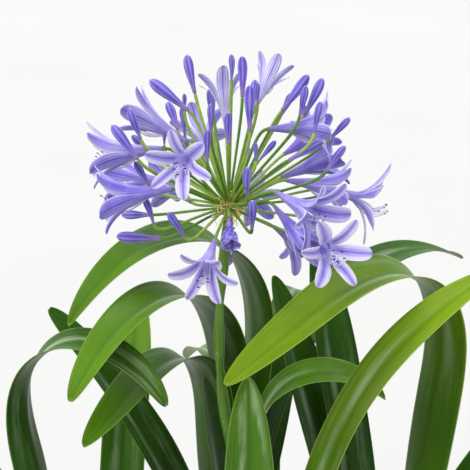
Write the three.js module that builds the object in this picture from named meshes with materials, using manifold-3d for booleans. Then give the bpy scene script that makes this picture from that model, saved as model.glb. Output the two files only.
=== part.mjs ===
// Agapanthus (African lily): a clump of strap leaves and one flowering stem, in a plain clay pot.
// Millimetres, +Z up. The origin is the centre of the pot's underside. +X is to the right
// and -Y is the front of the plant.

import * as THREE from 'three';
import { mergeVertices } from 'three/addons/utils/BufferGeometryUtils.js';
import Module from 'manifold-3d';

const wasm = await Module();
wasm.setup();

// ---------------------------------------------------------------- driving dimensions

const GAP = 0.3;                 // clearance between pieces that rest on or in each other

const POT_HEIGHT = 290;
const POT_RIM_RADIUS = 185;
const POT_RIM_DEPTH = 48;
const POT_RIM_STEP = 9;          // how far the rim band stands out of the wall's own line, at the top
const POT_RIM_BEVEL = 4;
const POT_RIM_TAPER = 1;         // how much less the rim band stands out at its lower edge
const POT_FOOT_RADIUS = 128;
const POT_FOOT_BEVEL = 3;
const POT_WALL = 10;
const POT_FLOOR = 14;
const DRAIN_HOLES = 4;
const DRAIN_HOLE_RADIUS = 6;
const DRAIN_HOLE_PLACE = 62;     // distance of each drain hole from the axis

const SOIL_LEVEL = 258;
const CROWN_TOP = 264;           // the crowns stand a little out of the soil
const CROWN_RADIUS = 22;
const CROWN_DEPTH = 26;
const RUNNER_WIDTH = 24;         // the rhizome between two crowns
const RUNNER_TOP = SOIL_LEVEL - 2;
const SOCKET_GAP = 0.4;          // between the rhizome and the soil that holds it

const SCAPE_FOOT_RADIUS = 6;
const SCAPE_TOP_RADIUS = 4.6;
const HUB_HEIGHT = 742;          // where all flower stalks meet, above the pot's underside
const HUB_RADIUS = 7.5;

const LEAF_THICKNESS_FOOT = 3;
const LEAF_THICKNESS_TIP = 1;
const LEAF_EDGE = 0.9;
const LEAF_FOOT_WIDTH = 0.62;    // as a share of the greatest width, which it has from LEAF_WIDE_FROM
const LEAF_WIDE_FROM = 0.4;      // as a share of the length, as is LEAF_TAPER_FROM
const LEAF_TAPER_FROM = 0.68;
const LEAF_CHANNEL_FOOT = 0.19;  // depth of the channel along the leaf, as a share of its width
const LEAF_CHANNEL_TIP = 0.07;
const LEAF_PITCH = 3.8;          // between two leaves of a fan, at the foot
const LEAF_FIRST = 7.5;          // from the middle of a crown to its first leaf on each side

const STALK_RADIUS = 1.1;
const BUD_RADIUS_SHARE = 0.125;  // a bud's radius over its length

const TUBE_LENGTH = 19;          // a flower's closed tube, before its six tepals part
const TUBE_FOOT_RADIUS = 1.7;
const THROAT_RADIUS = 5.6;
const TEPAL_LENGTH = 32;
const INNER_TEPAL_WIDTH = 11;
const OUTER_TEPAL_WIDTH = 8.6;
const TUBE_WALL = 1;
const TEPAL_THICKNESS_FOOT = 1.1;
const TEPAL_THICKNESS_TIP = 0.8;
const TEPAL_CURL = 0.16;         // how far a tepal's edges turn in, as a share of its half width
const THROAT_LEAN = 20;          // of the tepals where they leave the tube, in degrees
const OUTER_TEPAL_LEAN = 6;      // how much further the outer tepals lean at their tips

const degrees = (value) => value * Math.PI / 180;

// ---------------------------------------------------------------- materials

function finish(color, roughness) {
  return new THREE.MeshStandardMaterial({ color, roughness, metalness: 0 });
}

const clay = finish(0xb26a48, 0.85);
const earth = finish(0x3a2a1e, 0.95);
const rhizomeSkin = finish(0x9a9468, 0.8);
const leafGreen = finish(0x4f8a22, 0.4);
const stemGreen = finish(0x6f9c3a, 0.5);
const stalkGreen = finish(0x8fb04a, 0.55);
const petalBlue = finish(0xa79ce8, 0.5);

// ---------------------------------------------------------------- solids and booleans

function solidOf(geometry) {
  const bare = geometry.clone();
  bare.deleteAttribute('normal');
  bare.deleteAttribute('uv');
  const merged = mergeVertices(bare, 1e-4);
  return new wasm.Manifold(new wasm.Mesh({
    numProp: 3,
    vertProperties: new Float32Array(merged.attributes.position.array),
    triVerts: new Uint32Array(merged.index.array),
  }));
}

function geometryOf(solid) {
  const mesh = solid.getMesh();
  const geometry = new THREE.BufferGeometry();
  geometry.setAttribute('position', new THREE.BufferAttribute(mesh.vertProperties, 3));
  geometry.setIndex(new THREE.BufferAttribute(mesh.triVerts, 1));
  geometry.computeVertexNormals();
  return geometry;
}

function geometryFrom(points, triangles) {
  const geometry = new THREE.BufferGeometry();
  const numbers = points.flatMap((point) => point.toArray());
  geometry.setAttribute('position', new THREE.Float32BufferAttribute(numbers, 3));
  geometry.setIndex(triangles);
  geometry.computeVertexNormals();
  return geometry;
}

// A closed skin over rings of equal count, each ring running anticlockwise seen from its far end.
// A column in `turned` splits its squares along the other diagonal.
function skinRings(rings, turned = []) {
  const count = rings[0].length;
  const triangles = [];
  for (let row = 0; row < rings.length - 1; row += 1) {
    for (let column = 0; column < count; column += 1) {
      const next = (column + 1) % count;
      const a = row * count + column;
      const b = row * count + next;
      const c = (row + 1) * count + next;
      const d = (row + 1) * count + column;
      if (turned.includes(column)) {
        triangles.push(a, b, d, b, c, d);
      } else {
        triangles.push(a, b, c, a, c, d);
      }
    }
  }
  const last = (rings.length - 1) * count;
  for (let column = 1; column < count - 1; column += 1) {
    triangles.push(0, column + 1, column);
    triangles.push(last, last + column, last + column + 1);
  }
  return geometryFrom(rings.flat(), triangles);
}

// A round rod along a curve, with a radius for each place along it.
function rodAlong(curve, stations, sides) {
  const rings = stations.map(({ at, radius }) => {
    const centre = curve.getPoint(at);
    const forward = curve.getTangent(at).normalize();
    const side = new THREE.Vector3(0, 0, 1).cross(forward);
    if (side.length() < 0.05) side.set(1, 0, 0);
    side.normalize();
    const up = forward.clone().cross(side);
    return Array.from({ length: sides }, (_, k) => {
      const turn = 2 * Math.PI * k / sides;
      return centre.clone()
        .addScaledVector(side, radius * Math.cos(turn))
        .addScaledVector(up, radius * Math.sin(turn));
    });
  });
  return skinRings(rings);
}

// ---------------------------------------------------------------- pot and soil

const POT_SIDES = 40;
const innerFootRadius = POT_FOOT_RADIUS - POT_WALL;
const innerRimRadius = POT_RIM_RADIUS - POT_RIM_STEP - POT_WALL;

function innerRadiusAt(z) {
  return innerFootRadius + (innerRimRadius - innerFootRadius) * (z - POT_FLOOR) / (POT_HEIGHT - POT_FLOOR);
}

function wallRadiusAt(z) {
  return innerRadiusAt(z) + POT_WALL;
}

function latheZ(profile) {
  const geometry = new THREE.LatheGeometry(profile.map(([r, z]) => new THREE.Vector2(r, z)), POT_SIDES);
  return geometry.rotateX(Math.PI / 2);
}

function potGeometry() {
  const rimFoot = POT_HEIGHT - POT_RIM_DEPTH;
  const bevelFoot = POT_HEIGHT - POT_RIM_BEVEL;
  const profile = [
    [0, 0],
    [POT_FOOT_RADIUS - POT_FOOT_BEVEL, 0],
    [POT_FOOT_RADIUS, POT_FOOT_BEVEL],
    [wallRadiusAt(rimFoot), rimFoot],
    [POT_RIM_RADIUS - POT_RIM_BEVEL, rimFoot + POT_RIM_BEVEL / 2],
    [POT_RIM_RADIUS - POT_RIM_TAPER, rimFoot + 2 * POT_RIM_BEVEL],
    [POT_RIM_RADIUS, bevelFoot],
    [POT_RIM_RADIUS - POT_RIM_BEVEL, POT_HEIGHT],
    [innerRimRadius + POT_RIM_BEVEL, POT_HEIGHT],
    [innerRadiusAt(bevelFoot), bevelFoot],
    [innerFootRadius, POT_FLOOR],
    [0, POT_FLOOR],
  ];
  let pot = solidOf(latheZ(profile));
  for (let k = 0; k < DRAIN_HOLES; k += 1) {
    const angle = 2 * Math.PI * (k + 0.5) / DRAIN_HOLES;
    const hole = new THREE.CylinderGeometry(DRAIN_HOLE_RADIUS, DRAIN_HOLE_RADIUS, 3 * POT_FLOOR, 12);
    hole.rotateX(Math.PI / 2);
    hole.translate(DRAIN_HOLE_PLACE * Math.cos(angle), DRAIN_HOLE_PLACE * Math.sin(angle), POT_FLOOR / 2);
    pot = pot.subtract(solidOf(hole));
  }
  return geometryOf(pot);
}

// ---------------------------------------------------------------- rhizome

// The crowns that the leaf fans grow from. `fan` is the compass direction, from +X towards
// +Y, of the side of the fan that has the positive places.
const CROWNS = {
  centre: { x: 12, y: 4, fan: 150 },
  right: { x: 131, y: 0, fan: 185 },
  left: { x: -128, y: 20, fan: 205 },
  back: { x: 0, y: 118, fan: 232 },
  front: { x: 12, y: -112, fan: 50 },
};

function crownsAndRunners(grow) {
  const pieces = [];
  const bottom = CROWN_TOP - CROWN_DEPTH - grow;
  const { centre } = CROWNS;
  for (const crown of Object.values(CROWNS)) {
    const height = CROWN_DEPTH + grow + (grow > 0 ? POT_HEIGHT : 0);
    const knob = new THREE.CylinderGeometry(CROWN_RADIUS + grow, CROWN_RADIUS + grow, height, 20);
    knob.rotateX(Math.PI / 2);
    knob.translate(crown.x, crown.y, bottom + height / 2);
    pieces.push(solidOf(knob));
    if (crown === centre) continue;
    const length = Math.hypot(crown.x - centre.x, crown.y - centre.y);
    const top = RUNNER_TOP + (grow > 0 ? POT_HEIGHT : 0);
    const runner = new THREE.BoxGeometry(length, RUNNER_WIDTH + 2 * grow, top - bottom);
    runner.rotateZ(Math.atan2(crown.y - centre.y, crown.x - centre.x));
    runner.translate((crown.x + centre.x) / 2, (crown.y + centre.y) / 2, (top + bottom) / 2);
    pieces.push(solidOf(runner));
  }
  return pieces.reduce((whole, piece) => whole.add(piece));
}

function soilGeometry() {
  const profile = [
    [0, POT_FLOOR + GAP],
    [innerRadiusAt(POT_FLOOR) - 2 * GAP, POT_FLOOR + GAP],
    [innerRadiusAt(SOIL_LEVEL) - 2 * GAP, SOIL_LEVEL],
    [0, SOIL_LEVEL],
  ];
  return geometryOf(solidOf(latheZ(profile)).subtract(crownsAndRunners(SOCKET_GAP)));
}

// ---------------------------------------------------------------- leaves

// Each leaf: its crown; its place in the fan (1 is next to the middle, and a minus sign is
// the far side); the heading that it arches to; its length; how far it leans below and above
// its bend, in degrees from upright; the shares of its length between which it bends, where
// an end above 1 means that it is still bending at its tip; and its greatest width.
const LEAVES = [
  { crown: 'back', place: 1, heading: 219, length: 585, lean: [-8, 150], bend: [0.42, 1.1], width: 42 },
  { crown: 'back', place: 2, heading: 236, length: 555, lean: [-2, 141], bend: [0.38, 1.1], width: 44 },
  { crown: 'back', place: 3, heading: 239, length: 475, lean: [3, 105], bend: [0.46, 0.9], width: 42 },
  { crown: 'back', place: -1, heading: 40, length: 540, lean: [12, 130], bend: [0.2, 1.15], width: 42 },
  { crown: 'back', place: -2, heading: 78, length: 500, lean: [17, 145], bend: [0.1, 1.15], width: 42 },
  { crown: 'back', place: -3, heading: 110, length: 430, lean: [23, 140], bend: [0, 1.15], width: 40 },
  { crown: 'right', place: 1, heading: 219, length: 632, lean: [-9, 110], bend: [0.48, 0.88], width: 46 },
  { crown: 'right', place: 2, heading: 120, length: 430, lean: [2, 22], bend: [0, 1], width: 40 },
  { crown: 'right', place: 3, heading: 140, length: 410, lean: [6, 22], bend: [0, 1], width: 42 },
  { crown: 'right', place: -1, heading: 30, length: 500, lean: [15, 125], bend: [0.15, 1.15], width: 44 },
  { crown: 'right', place: -2, heading: 342, length: 460, lean: [20, 145], bend: [0.1, 1.15], width: 42 },
  { crown: 'right', place: -3, heading: 5, length: 390, lean: [26, 135], bend: [0, 1.15], width: 40 },
  { crown: 'centre', place: 1, heading: 150, length: 320, lean: [1, 10], bend: [0, 1], width: 38 },
  { crown: 'centre', place: 2, heading: 152, length: 400, lean: [9, 50], bend: [0, 1.1], width: 42 },
  { crown: 'centre', place: -1, heading: 352, length: 420, lean: [1, 170], bend: [0.6, 1.15], width: 38 },
  { crown: 'centre', place: -2, heading: 315, length: 400, lean: [8, 145], bend: [0.1, 1.15], width: 38 },
  { crown: 'left', place: 1, heading: 165, length: 520, lean: [12, 140], bend: [0.15, 1.15], width: 42 },
  { crown: 'left', place: 2, heading: 203, length: 480, lean: [17, 150], bend: [0.1, 1.15], width: 42 },
  { crown: 'left', place: 3, heading: 180, length: 400, lean: [22, 140], bend: [0, 1.15], width: 40 },
  { crown: 'left', place: -1, heading: 335, length: 485, lean: [-11, 160], bend: [0.5, 1.1], width: 40 },
  { crown: 'left', place: -2, heading: 85, length: 370, lean: [10, 65], bend: [0.1, 1.15], width: 40 },
  { crown: 'front', place: 1, heading: 92, length: 370, lean: [-1, 26], bend: [0.2, 1.1], width: 40 },
  { crown: 'front', place: 2, heading: 14, length: 505, lean: [12, 66], bend: [0.48, 1.1], width: 40 },
  { crown: 'front', place: -1, heading: 215, length: 400, lean: [6, 135], bend: [0.1, 1.15], width: 40 },
  { crown: 'front', place: -2, heading: 255, length: 400, lean: [12, 145], bend: [0.1, 1.15], width: 40 },
  { crown: 'front', place: -3, heading: 295, length: 380, lean: [18, 135], bend: [0, 1.15], width: 40 },
];

const LEAF_STEPS = 100;
const LEAF_ROWS = [0, 10, 20, 31, 42, 53, 63, 73, 82, 90, 96, 100];   // closer towards the tip

function smoothStep(x) {
  const t = Math.min(1, Math.max(0, x));
  return t * t * (3 - 2 * t);
}

function leafWidthAt(s, width) {
  const widening = THREE.MathUtils.lerp(LEAF_FOOT_WIDTH, 1, smoothStep(s / LEAF_WIDE_FROM));
  const towardsTip = Math.min(1, Math.max(0, (s - LEAF_TAPER_FROM) / (1 - LEAF_TAPER_FROM)));
  return width * widening * Math.max(0.05, (1 - towardsTip ** 2.3) ** 0.66);
}

// The middle line of a leaf and the way that its upper face looks, row by row.
function leafFrames(leaf) {
  const crown = CROWNS[leaf.crown];
  const outward = Math.sign(leaf.place);
  const foot = outward * (LEAF_FIRST + LEAF_PITCH * (Math.abs(leaf.place) - 1));
  const fan = degrees(crown.fan);
  const start = degrees(outward > 0 ? crown.fan : crown.fan + 180);
  const wholeTurn = degrees(leaf.heading) - start;
  const turnAway = Math.atan2(Math.sin(wholeTurn), Math.cos(wholeTurn));
  const directionsAt = (s) => {
    const bent = smoothStep((s - leaf.bend[0]) / (leaf.bend[1] - leaf.bend[0]));
    const lean = degrees(THREE.MathUtils.lerp(leaf.lean[0], leaf.lean[1], bent));
    const compass = start + turnAway * smoothStep(s / 0.5);
    const level = new THREE.Vector3(Math.cos(compass), Math.sin(compass), 0);
    const along = level.clone().multiplyScalar(Math.sin(lean)).setZ(Math.cos(lean));
    const upper = level.clone().multiplyScalar(-Math.cos(lean)).setZ(Math.sin(lean));
    return { along, upper, across: along.clone().cross(upper) };
  };
  const position = new THREE.Vector3(crown.x, crown.y, CROWN_TOP + GAP);
  position.x += foot * Math.cos(fan);
  position.y += foot * Math.sin(fan);
  const frames = [];
  for (let step = 0; step <= LEAF_STEPS; step += 1) {
    const s = step / LEAF_STEPS;
    if (LEAF_ROWS.includes(step)) frames.push({ s, position: position.clone(), ...directionsAt(s) });
    position.addScaledVector(directionsAt(s + 0.5 / LEAF_STEPS).along, leaf.length / LEAF_STEPS);
  }
  return frames;
}

// A strap leaf: a shallow V channel, thick along the middle and thin at its edges.
function leafGeometry(leaf) {
  const rings = leafFrames(leaf).map(({ s, position, upper, across }) => {
    const half = leafWidthAt(s, leaf.width) / 2;
    const rise = 2 * half * THREE.MathUtils.lerp(LEAF_CHANNEL_FOOT, LEAF_CHANNEL_TIP, s);
    const middle = THREE.MathUtils.lerp(LEAF_THICKNESS_FOOT, LEAF_THICKNESS_TIP, smoothStep(s / 0.7));
    const at = (sideways, up) => (
      position.clone().addScaledVector(across, sideways).addScaledVector(upper, up)
    );
    return [
      at(0, 0),
      at(half, rise),
      at(half, rise - LEAF_EDGE),
      at(0, -middle),
      at(-half, rise - LEAF_EDGE),
      at(-half, rise),
    ];
  });
  rings[0].forEach((point) => point.setZ(CROWN_TOP + GAP));
  return skinRings(rings, [2, 5]);
}

// ---------------------------------------------------------------- flowering stem

// The stem's middle line bows a little, up to the hub.
const SCAPE_LINE = new THREE.CatmullRomCurve3([
  new THREE.Vector3(CROWNS.centre.x, CROWNS.centre.y, CROWN_TOP + GAP),
  new THREE.Vector3(12, 4, 400),
  new THREE.Vector3(9, 3, 490),
  new THREE.Vector3(-5, 2, 570),
  new THREE.Vector3(-8, 1, 650),
  new THREE.Vector3(0, 0, HUB_HEIGHT - HUB_RADIUS - GAP),
]);

function scapeGeometry() {
  const rows = 14;
  const stations = Array.from({ length: rows + 1 }, (_, k) => ({
    at: k / rows,
    radius: THREE.MathUtils.lerp(SCAPE_FOOT_RADIUS, SCAPE_TOP_RADIUS, k / rows),
  }));
  return rodAlong(SCAPE_LINE, stations, 10);
}

// ---------------------------------------------------------------- flower head

// Places in the head are written as [across, up, forward] from the hub, in a frame that
// leans back by HEAD_TILT, because the head opens up and to the front.
const HEAD_TILT = degrees(22);
const HUB = new THREE.Vector3(0, 0, HUB_HEIGHT);

function headVector([across, up, forward]) {
  return new THREE.Vector3(
    across,
    up * Math.sin(HEAD_TILT) - forward * Math.cos(HEAD_TILT),
    up * Math.cos(HEAD_TILT) + forward * Math.sin(HEAD_TILT),
  );
}

// Open flowers: the foot of each, the way that it looks, how far its tepals lean out at
// their tips, in degrees from its own axis, and its size beside a full-grown one.
const BLOOMS = [
  { foot: [-31, 49, -16], look: [-0.85, 0.52, -0.05], spread: 55, size: 1.05 },
  { foot: [-47, 43, 20], look: [-1, 0, 0.05], spread: 60, size: 1 },
  { foot: [-40, 13, 45], look: [-0.98, -0.2, 0], spread: 50, size: 1 },
  { foot: [-26, 37, 53], look: [-0.25, -0.15, 0.95], spread: 70, size: 0.95 },
  { foot: [-10, -23, 60], look: [-0.26, -0.74, 0.62], spread: 62, size: 1.05 },
  { foot: [0, -7, 65], look: [0, -0.75, 0.66], spread: 4, size: 0.62 },
  { foot: [-2, 60, -15], look: [-0.1, 0.9, -0.4], spread: 60, size: 0.95 },
  { foot: [20, 75, -10], look: [0.35, 0.85, -0.3], spread: 55, size: 0.9 },
  { foot: [29, 58, 5], look: [1, 0.02, 0], spread: 50, size: 1 },
  { foot: [41, 23, -44], look: [0.92, 0.36, 0], spread: 58, size: 1 },
  { foot: [34, 10, 45], look: [0.85, -0.48, 0.25], spread: 62, size: 1 },
  { foot: [62, -30, 38], look: [0.45, -0.2, 0.87], spread: 60, size: 1 },
  { foot: [79, 13, -15], look: [0.85, -0.5, 0], spread: 60, size: 0.95 },
  { foot: [43, 20, 0], look: [0.97, -0.15, 0], spread: 55, size: 0.95 },
  { foot: [32, 1, 45], look: [0.35, -0.9, 0.2], spread: 30, size: 0.9 },
  { foot: [-48, 20, -38], look: [-0.88, 0.1, -0.45], spread: 60, size: 1 },
  { foot: [-16, 44, -60], look: [-0.2, 0.45, -0.87], spread: 62, size: 1 },
  { foot: [12, 12, -72], look: [0.2, -0.1, -0.97], spread: 58, size: 1 },
  { foot: [44, 42, -56], look: [0.6, 0.4, -0.7], spread: 60, size: 1 },
  { foot: [-30, 4, -62], look: [-0.5, 0.4, -0.77], spread: 60, size: 1 },
  { foot: [36, -16, -56], look: [0.6, -0.4, -0.7], spread: 58, size: 1 },
];

// Closed buds: the foot of each, the way that it points, and its length.
const BUDS = [
  { foot: [-25, 84, 0], look: [-0.2, 0.95, 0], length: 31 },
  { foot: [2, 95, -5], look: [0, 1, 0], length: 20 },
  { foot: [10, 80, 10], look: [0, 1, 0], length: 32 },
  { foot: [15, 53, 45], look: [0, 1, 0.1], length: 34 },
  { foot: [21, 75, 20], look: [0, 1, 0], length: 16 },
  { foot: [-13, 52, 40], look: [0, 1, 0.1], length: 22 },
  { foot: [-15, 74, -10], look: [0, 1, 0], length: 15 },
  { foot: [0, 43, 55], look: [0, 1, 0.2], length: 24 },
  { foot: [-15, 31, 55], look: [0, 1, 0.2], length: 24 },
  { foot: [-29, 70, 20], look: [-0.78, 0.62, 0.1], length: 37 },
  { foot: [-34, 73, -20], look: [0, 1, 0], length: 14 },
  { foot: [-34, 55, -25], look: [-0.1, 1, 0], length: 22 },
  { foot: [-63, 48, 34], look: [-0.35, 0.93, 0], length: 25 },
  { foot: [-64, 33, 46], look: [-0.6, 0.8, 0.1], length: 32 },
  { foot: [-47, 44, 25], look: [0, 1, 0], length: 12 },
  { foot: [-59, 15, 10], look: [-0.5, 0.87, 0], length: 22 },
  { foot: [-54, -13, 35], look: [-0.33, 0.94, 0], length: 22 },
  { foot: [-49, -23, 20], look: [-1, 0.05, 0], length: 34 },
  { foot: [-31, -22, 50], look: [-0.5, 0.8, 0.4], length: 24 },
  { foot: [13, 7, 62], look: [0, 0.8, 0.6], length: 26 },
  { foot: [16, -16, 60], look: [0, 0.8, 0.6], length: 26 },
  { foot: [19, 32, 45], look: [0, 1, 0], length: 14 },
  { foot: [22, 34, 10], look: [0.65, 0.76, 0], length: 20 },
  { foot: [42, 33, 35], look: [0.88, 0.48, 0], length: 30 },
  { foot: [61, 52, 42], look: [0.2, 0.98, 0], length: 24 },
  { foot: [39, 71, 0], look: [0.6, 0.8, 0], length: 35 },
  { foot: [52, 66, 15], look: [0.2, 0.98, 0], length: 24 },
  { foot: [57, 69, -10], look: [0.45, 0.9, 0], length: 32 },
  { foot: [77, 51, -24], look: [0.68, 0.73, 0], length: 24 },
  { foot: [70, 25, 32], look: [0.6, 0.8, 0], length: 24 },
  { foot: [-62, 40, -36], look: [-0.6, 0.7, -0.4], length: 24 },
  { foot: [-40, 60, -48], look: [-0.3, 0.8, -0.5], length: 30 },
  { foot: [-12, 72, -50], look: [-0.1, 0.9, -0.4], length: 26 },
  { foot: [18, 74, -44], look: [0.1, 0.9, -0.4], length: 30 },
  { foot: [40, 70, -36], look: [0.4, 0.8, -0.4], length: 24 },
  { foot: [70, 8, -60], look: [0.7, 0.2, -0.6], length: 26 },
  { foot: [66, -8, -46], look: [0.8, 0, -0.6], length: 28 },
  { foot: [0, -34, -64], look: [0, -0.5, -0.86], length: 26 },
  { foot: [-60, -6, -38], look: [-0.8, 0, -0.5], length: 30 },
  { foot: [14, 40, -76], look: [0.1, 0.4, -0.9], length: 22 },
];

// A flower stalk leaves the hub straight towards its flower and turns into the flower's axis.
function stalkCurve(foot, look) {
  const away = foot.clone().sub(HUB);
  const start = HUB.clone().addScaledVector(away.clone().normalize(), HUB_RADIUS * 0.45);
  const onTheWay = HUB.clone().addScaledVector(away, 0.55);
  const intoAxis = foot.clone().addScaledVector(look, -0.16 * away.length());
  return new THREE.CubicBezierCurve3(start, onTheWay, intoAxis, foot);
}

const STALK_SIDES = 5;

function stalkGeometry(foot, look) {
  const stations = [
    { at: 0, radius: STALK_RADIUS },
    { at: 0.55, radius: STALK_RADIUS },
    { at: 1, radius: TUBE_FOOT_RADIUS },
  ];
  return rodAlong(stalkCurve(foot, look), stations, STALK_SIDES);
}

// A bud's outline: how far along it, and how thick there beside its belly.
const BUD_OUTLINE = [
  [0.02, 0.4],
  [0.35, 0.72],
  [0.72, 1],
  [0.92, 0.62],
  [1, 0.16],
];

// A closed bud and its stalk in one rod: the stalk, then the bud's slim foot, belly and tip.
function budGeometry(foot, look, length) {
  const curve = new THREE.CurvePath();
  const tip = foot.clone().addScaledVector(look, length);
  curve.add(stalkCurve(foot, look));
  curve.add(new THREE.LineCurve3(foot, tip));
  const stalkShare = curve.curves[0].getLength() / curve.getLength();
  const belly = length * BUD_RADIUS_SHARE;
  const stations = [
    { at: 0, radius: STALK_RADIUS },
    { at: stalkShare * 0.6, radius: STALK_RADIUS },
  ];
  for (const [share, thickness] of BUD_OUTLINE) {
    stations.push({ at: stalkShare + (1 - stalkShare) * share, radius: thickness * belly });
  }
  return rodAlong(curve, stations, STALK_SIDES);
}

function headGeometry() {
  const hub = new THREE.SphereGeometry(HUB_RADIUS, 12, 8).rotateX(Math.PI / 2);
  hub.translate(HUB.x, HUB.y, HUB.z);
  const solids = [solidOf(hub)];
  for (const bloom of BLOOMS) {
    const look = headVector(bloom.look).normalize();
    const foot = HUB.clone().add(headVector(bloom.foot));
    solids.push(solidOf(stalkGeometry(foot.addScaledVector(look, -GAP), look)));
  }
  for (const bud of BUDS) {
    const look = headVector(bud.look).normalize();
    const foot = HUB.clone().add(headVector(bud.foot));
    solids.push(solidOf(budGeometry(foot, look, bud.length)));
  }
  return geometryOf(solids.reduce((whole, solid) => whole.add(solid)));
}

// ---------------------------------------------------------------- open flowers

const TEPALS = 6;
const COLUMNS = 2 * TEPALS;
const TEPAL_ROWS = [0.34, 0.7, 1];           // as shares of its length
const TEPAL_ROW_WIDTHS = [0.82, 1, 0.3];     // as shares of its greatest width

// One trumpet flower on its own axis, foot at the origin and looking along +Z: a tube whose
// rim parts into six tepals, three broad inner ones between three narrow outer ones.
function bloomGeometry(spread) {
  const points = [];
  const triangles = [];
  const add = (point) => points.push(point) - 1;
  const turnOf = (column) => 2 * Math.PI * column / COLUMNS;
  const columns = Array.from({ length: COLUMNS }, (_, column) => column);
  const ringOf = (radius, z) => columns.map((column) => {
    const turn = turnOf(column);
    return add(new THREE.Vector3(radius * Math.cos(turn), radius * Math.sin(turn), z));
  });

  const footRing = ringOf(TUBE_FOOT_RADIUS, 0);
  const outerThroat = ringOf(THROAT_RADIUS, TUBE_LENGTH);
  const innerThroat = ringOf(THROAT_RADIUS - TUBE_WALL, TUBE_LENGTH + 0.3 * TUBE_WALL);
  const tubeFloor = add(new THREE.Vector3(0, 0, 0.45 * TUBE_LENGTH));
  for (const c of columns) {
    const n = (c + 1) % COLUMNS;
    triangles.push(footRing[c], footRing[n], outerThroat[n], footRing[c], outerThroat[n], outerThroat[c]);
    triangles.push(tubeFloor, innerThroat[c], innerThroat[n]);
    if (c > 0 && n > 0) triangles.push(footRing[0], footRing[n], footRing[c]);
  }

  for (let tepal = 0; tepal < TEPALS; tepal += 1) {
    const inner = tepal % 2 === 0;
    const width = inner ? INNER_TEPAL_WIDTH : OUTER_TEPAL_WIDTH;
    const middle = 2 * tepal + 1;
    const turn = turnOf(middle);
    const away = new THREE.Vector3(Math.cos(turn), Math.sin(turn), 0);
    const sideways = new THREE.Vector3(-Math.sin(turn), Math.cos(turn), 0);
    let outerRow = [middle - 1, middle, (middle + 1) % COLUMNS].map((c) => outerThroat[c]);
    let innerRow = [middle - 1, middle, (middle + 1) % COLUMNS].map((c) => innerThroat[c]);
    const tipLean = spread + (inner ? 0 : OUTER_TEPAL_LEAN);
    const leanAt = (s) => degrees(THREE.MathUtils.lerp(THROAT_LEAN, tipLean, s));
    TEPAL_ROWS.forEach((s, row) => {
      const reach = new THREE.Vector3(0, 0, TUBE_LENGTH).addScaledVector(away, THROAT_RADIUS);
      const steps = 12;
      for (let step = 0; step < steps; step += 1) {
        const lean = leanAt(s * (step + 0.5) / steps);
        reach.addScaledVector(away, Math.sin(lean) * TEPAL_LENGTH * s / steps);
        reach.z += Math.cos(lean) * TEPAL_LENGTH * s / steps;
      }
      const lean = leanAt(s);
      const outside = away.clone().multiplyScalar(Math.cos(lean)).setZ(-Math.sin(lean));
      const half = width * TEPAL_ROW_WIDTHS[row] / 2;
      const thick = THREE.MathUtils.lerp(TEPAL_THICKNESS_FOOT, TEPAL_THICKNESS_TIP, s);
      const curl = -TEPAL_CURL * half;
      const addAt = (across, out) => add(
        reach.clone().addScaledVector(sideways, across).addScaledVector(outside, out),
      );
      const nextOuter = [addAt(-half, curl), addAt(0, 0), addAt(half, curl)];
      const nextInner = [addAt(-half, curl - thick), addAt(0, -thick), addAt(half, curl - thick)];
      for (const [a, b, turned] of [[0, 1, true], [1, 2, false]]) {
        const o = [outerRow[a], outerRow[b], nextOuter[b], nextOuter[a]];
        const i = [innerRow[a], innerRow[b], nextInner[b], nextInner[a]];
        if (turned) {
          triangles.push(o[0], o[1], o[3], o[1], o[2], o[3]);
          triangles.push(i[0], i[3], i[1], i[1], i[3], i[2]);
        } else {
          triangles.push(o[0], o[1], o[2], o[0], o[2], o[3]);
          triangles.push(i[0], i[2], i[1], i[0], i[3], i[2]);
        }
      }
      triangles.push(outerRow[0], nextOuter[0], nextInner[0], outerRow[0], nextInner[0], innerRow[0]);
      triangles.push(outerRow[2], nextInner[2], nextOuter[2], outerRow[2], innerRow[2], nextInner[2]);
      outerRow = nextOuter;
      innerRow = nextInner;
    });
    for (const [a, b] of [[0, 1], [1, 2]]) {
      triangles.push(outerRow[a], outerRow[b], innerRow[b], outerRow[a], innerRow[b], innerRow[a]);
    }
  }
  return geometryFrom(points, triangles);
}

// ---------------------------------------------------------------- the plant in its pot

const plant = new THREE.Group();

function addPiece(name, geometry, material) {
  const mesh = new THREE.Mesh(geometry, material);
  mesh.name = name;
  plant.add(mesh);
  return mesh;
}

const numbered = (name, k) => `${name}_${String(k + 1).padStart(2, '0')}`;

addPiece('pot', potGeometry(), clay);
addPiece('soil', soilGeometry(), earth);
addPiece('rhizome', geometryOf(crownsAndRunners(0)), rhizomeSkin);

LEAVES.forEach((leaf, k) => {
  addPiece(numbered('leaf', k), leafGeometry(leaf), leafGreen);
});

addPiece('scape', scapeGeometry(), stemGreen);
addPiece('flower_head', headGeometry(), stalkGreen);

BLOOMS.forEach((bloom, k) => {
  const mesh = addPiece(numbered('bloom', k), bloomGeometry(bloom.spread), petalBlue);
  mesh.position.copy(HUB).add(headVector(bloom.foot));
  mesh.quaternion.setFromUnitVectors(new THREE.Vector3(0, 0, 1), headVector(bloom.look).normalize());
  mesh.scale.setScalar(bloom.size);
});

export default plant;
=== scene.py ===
import math
import random

import bpy
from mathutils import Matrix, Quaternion, Vector, noise


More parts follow.
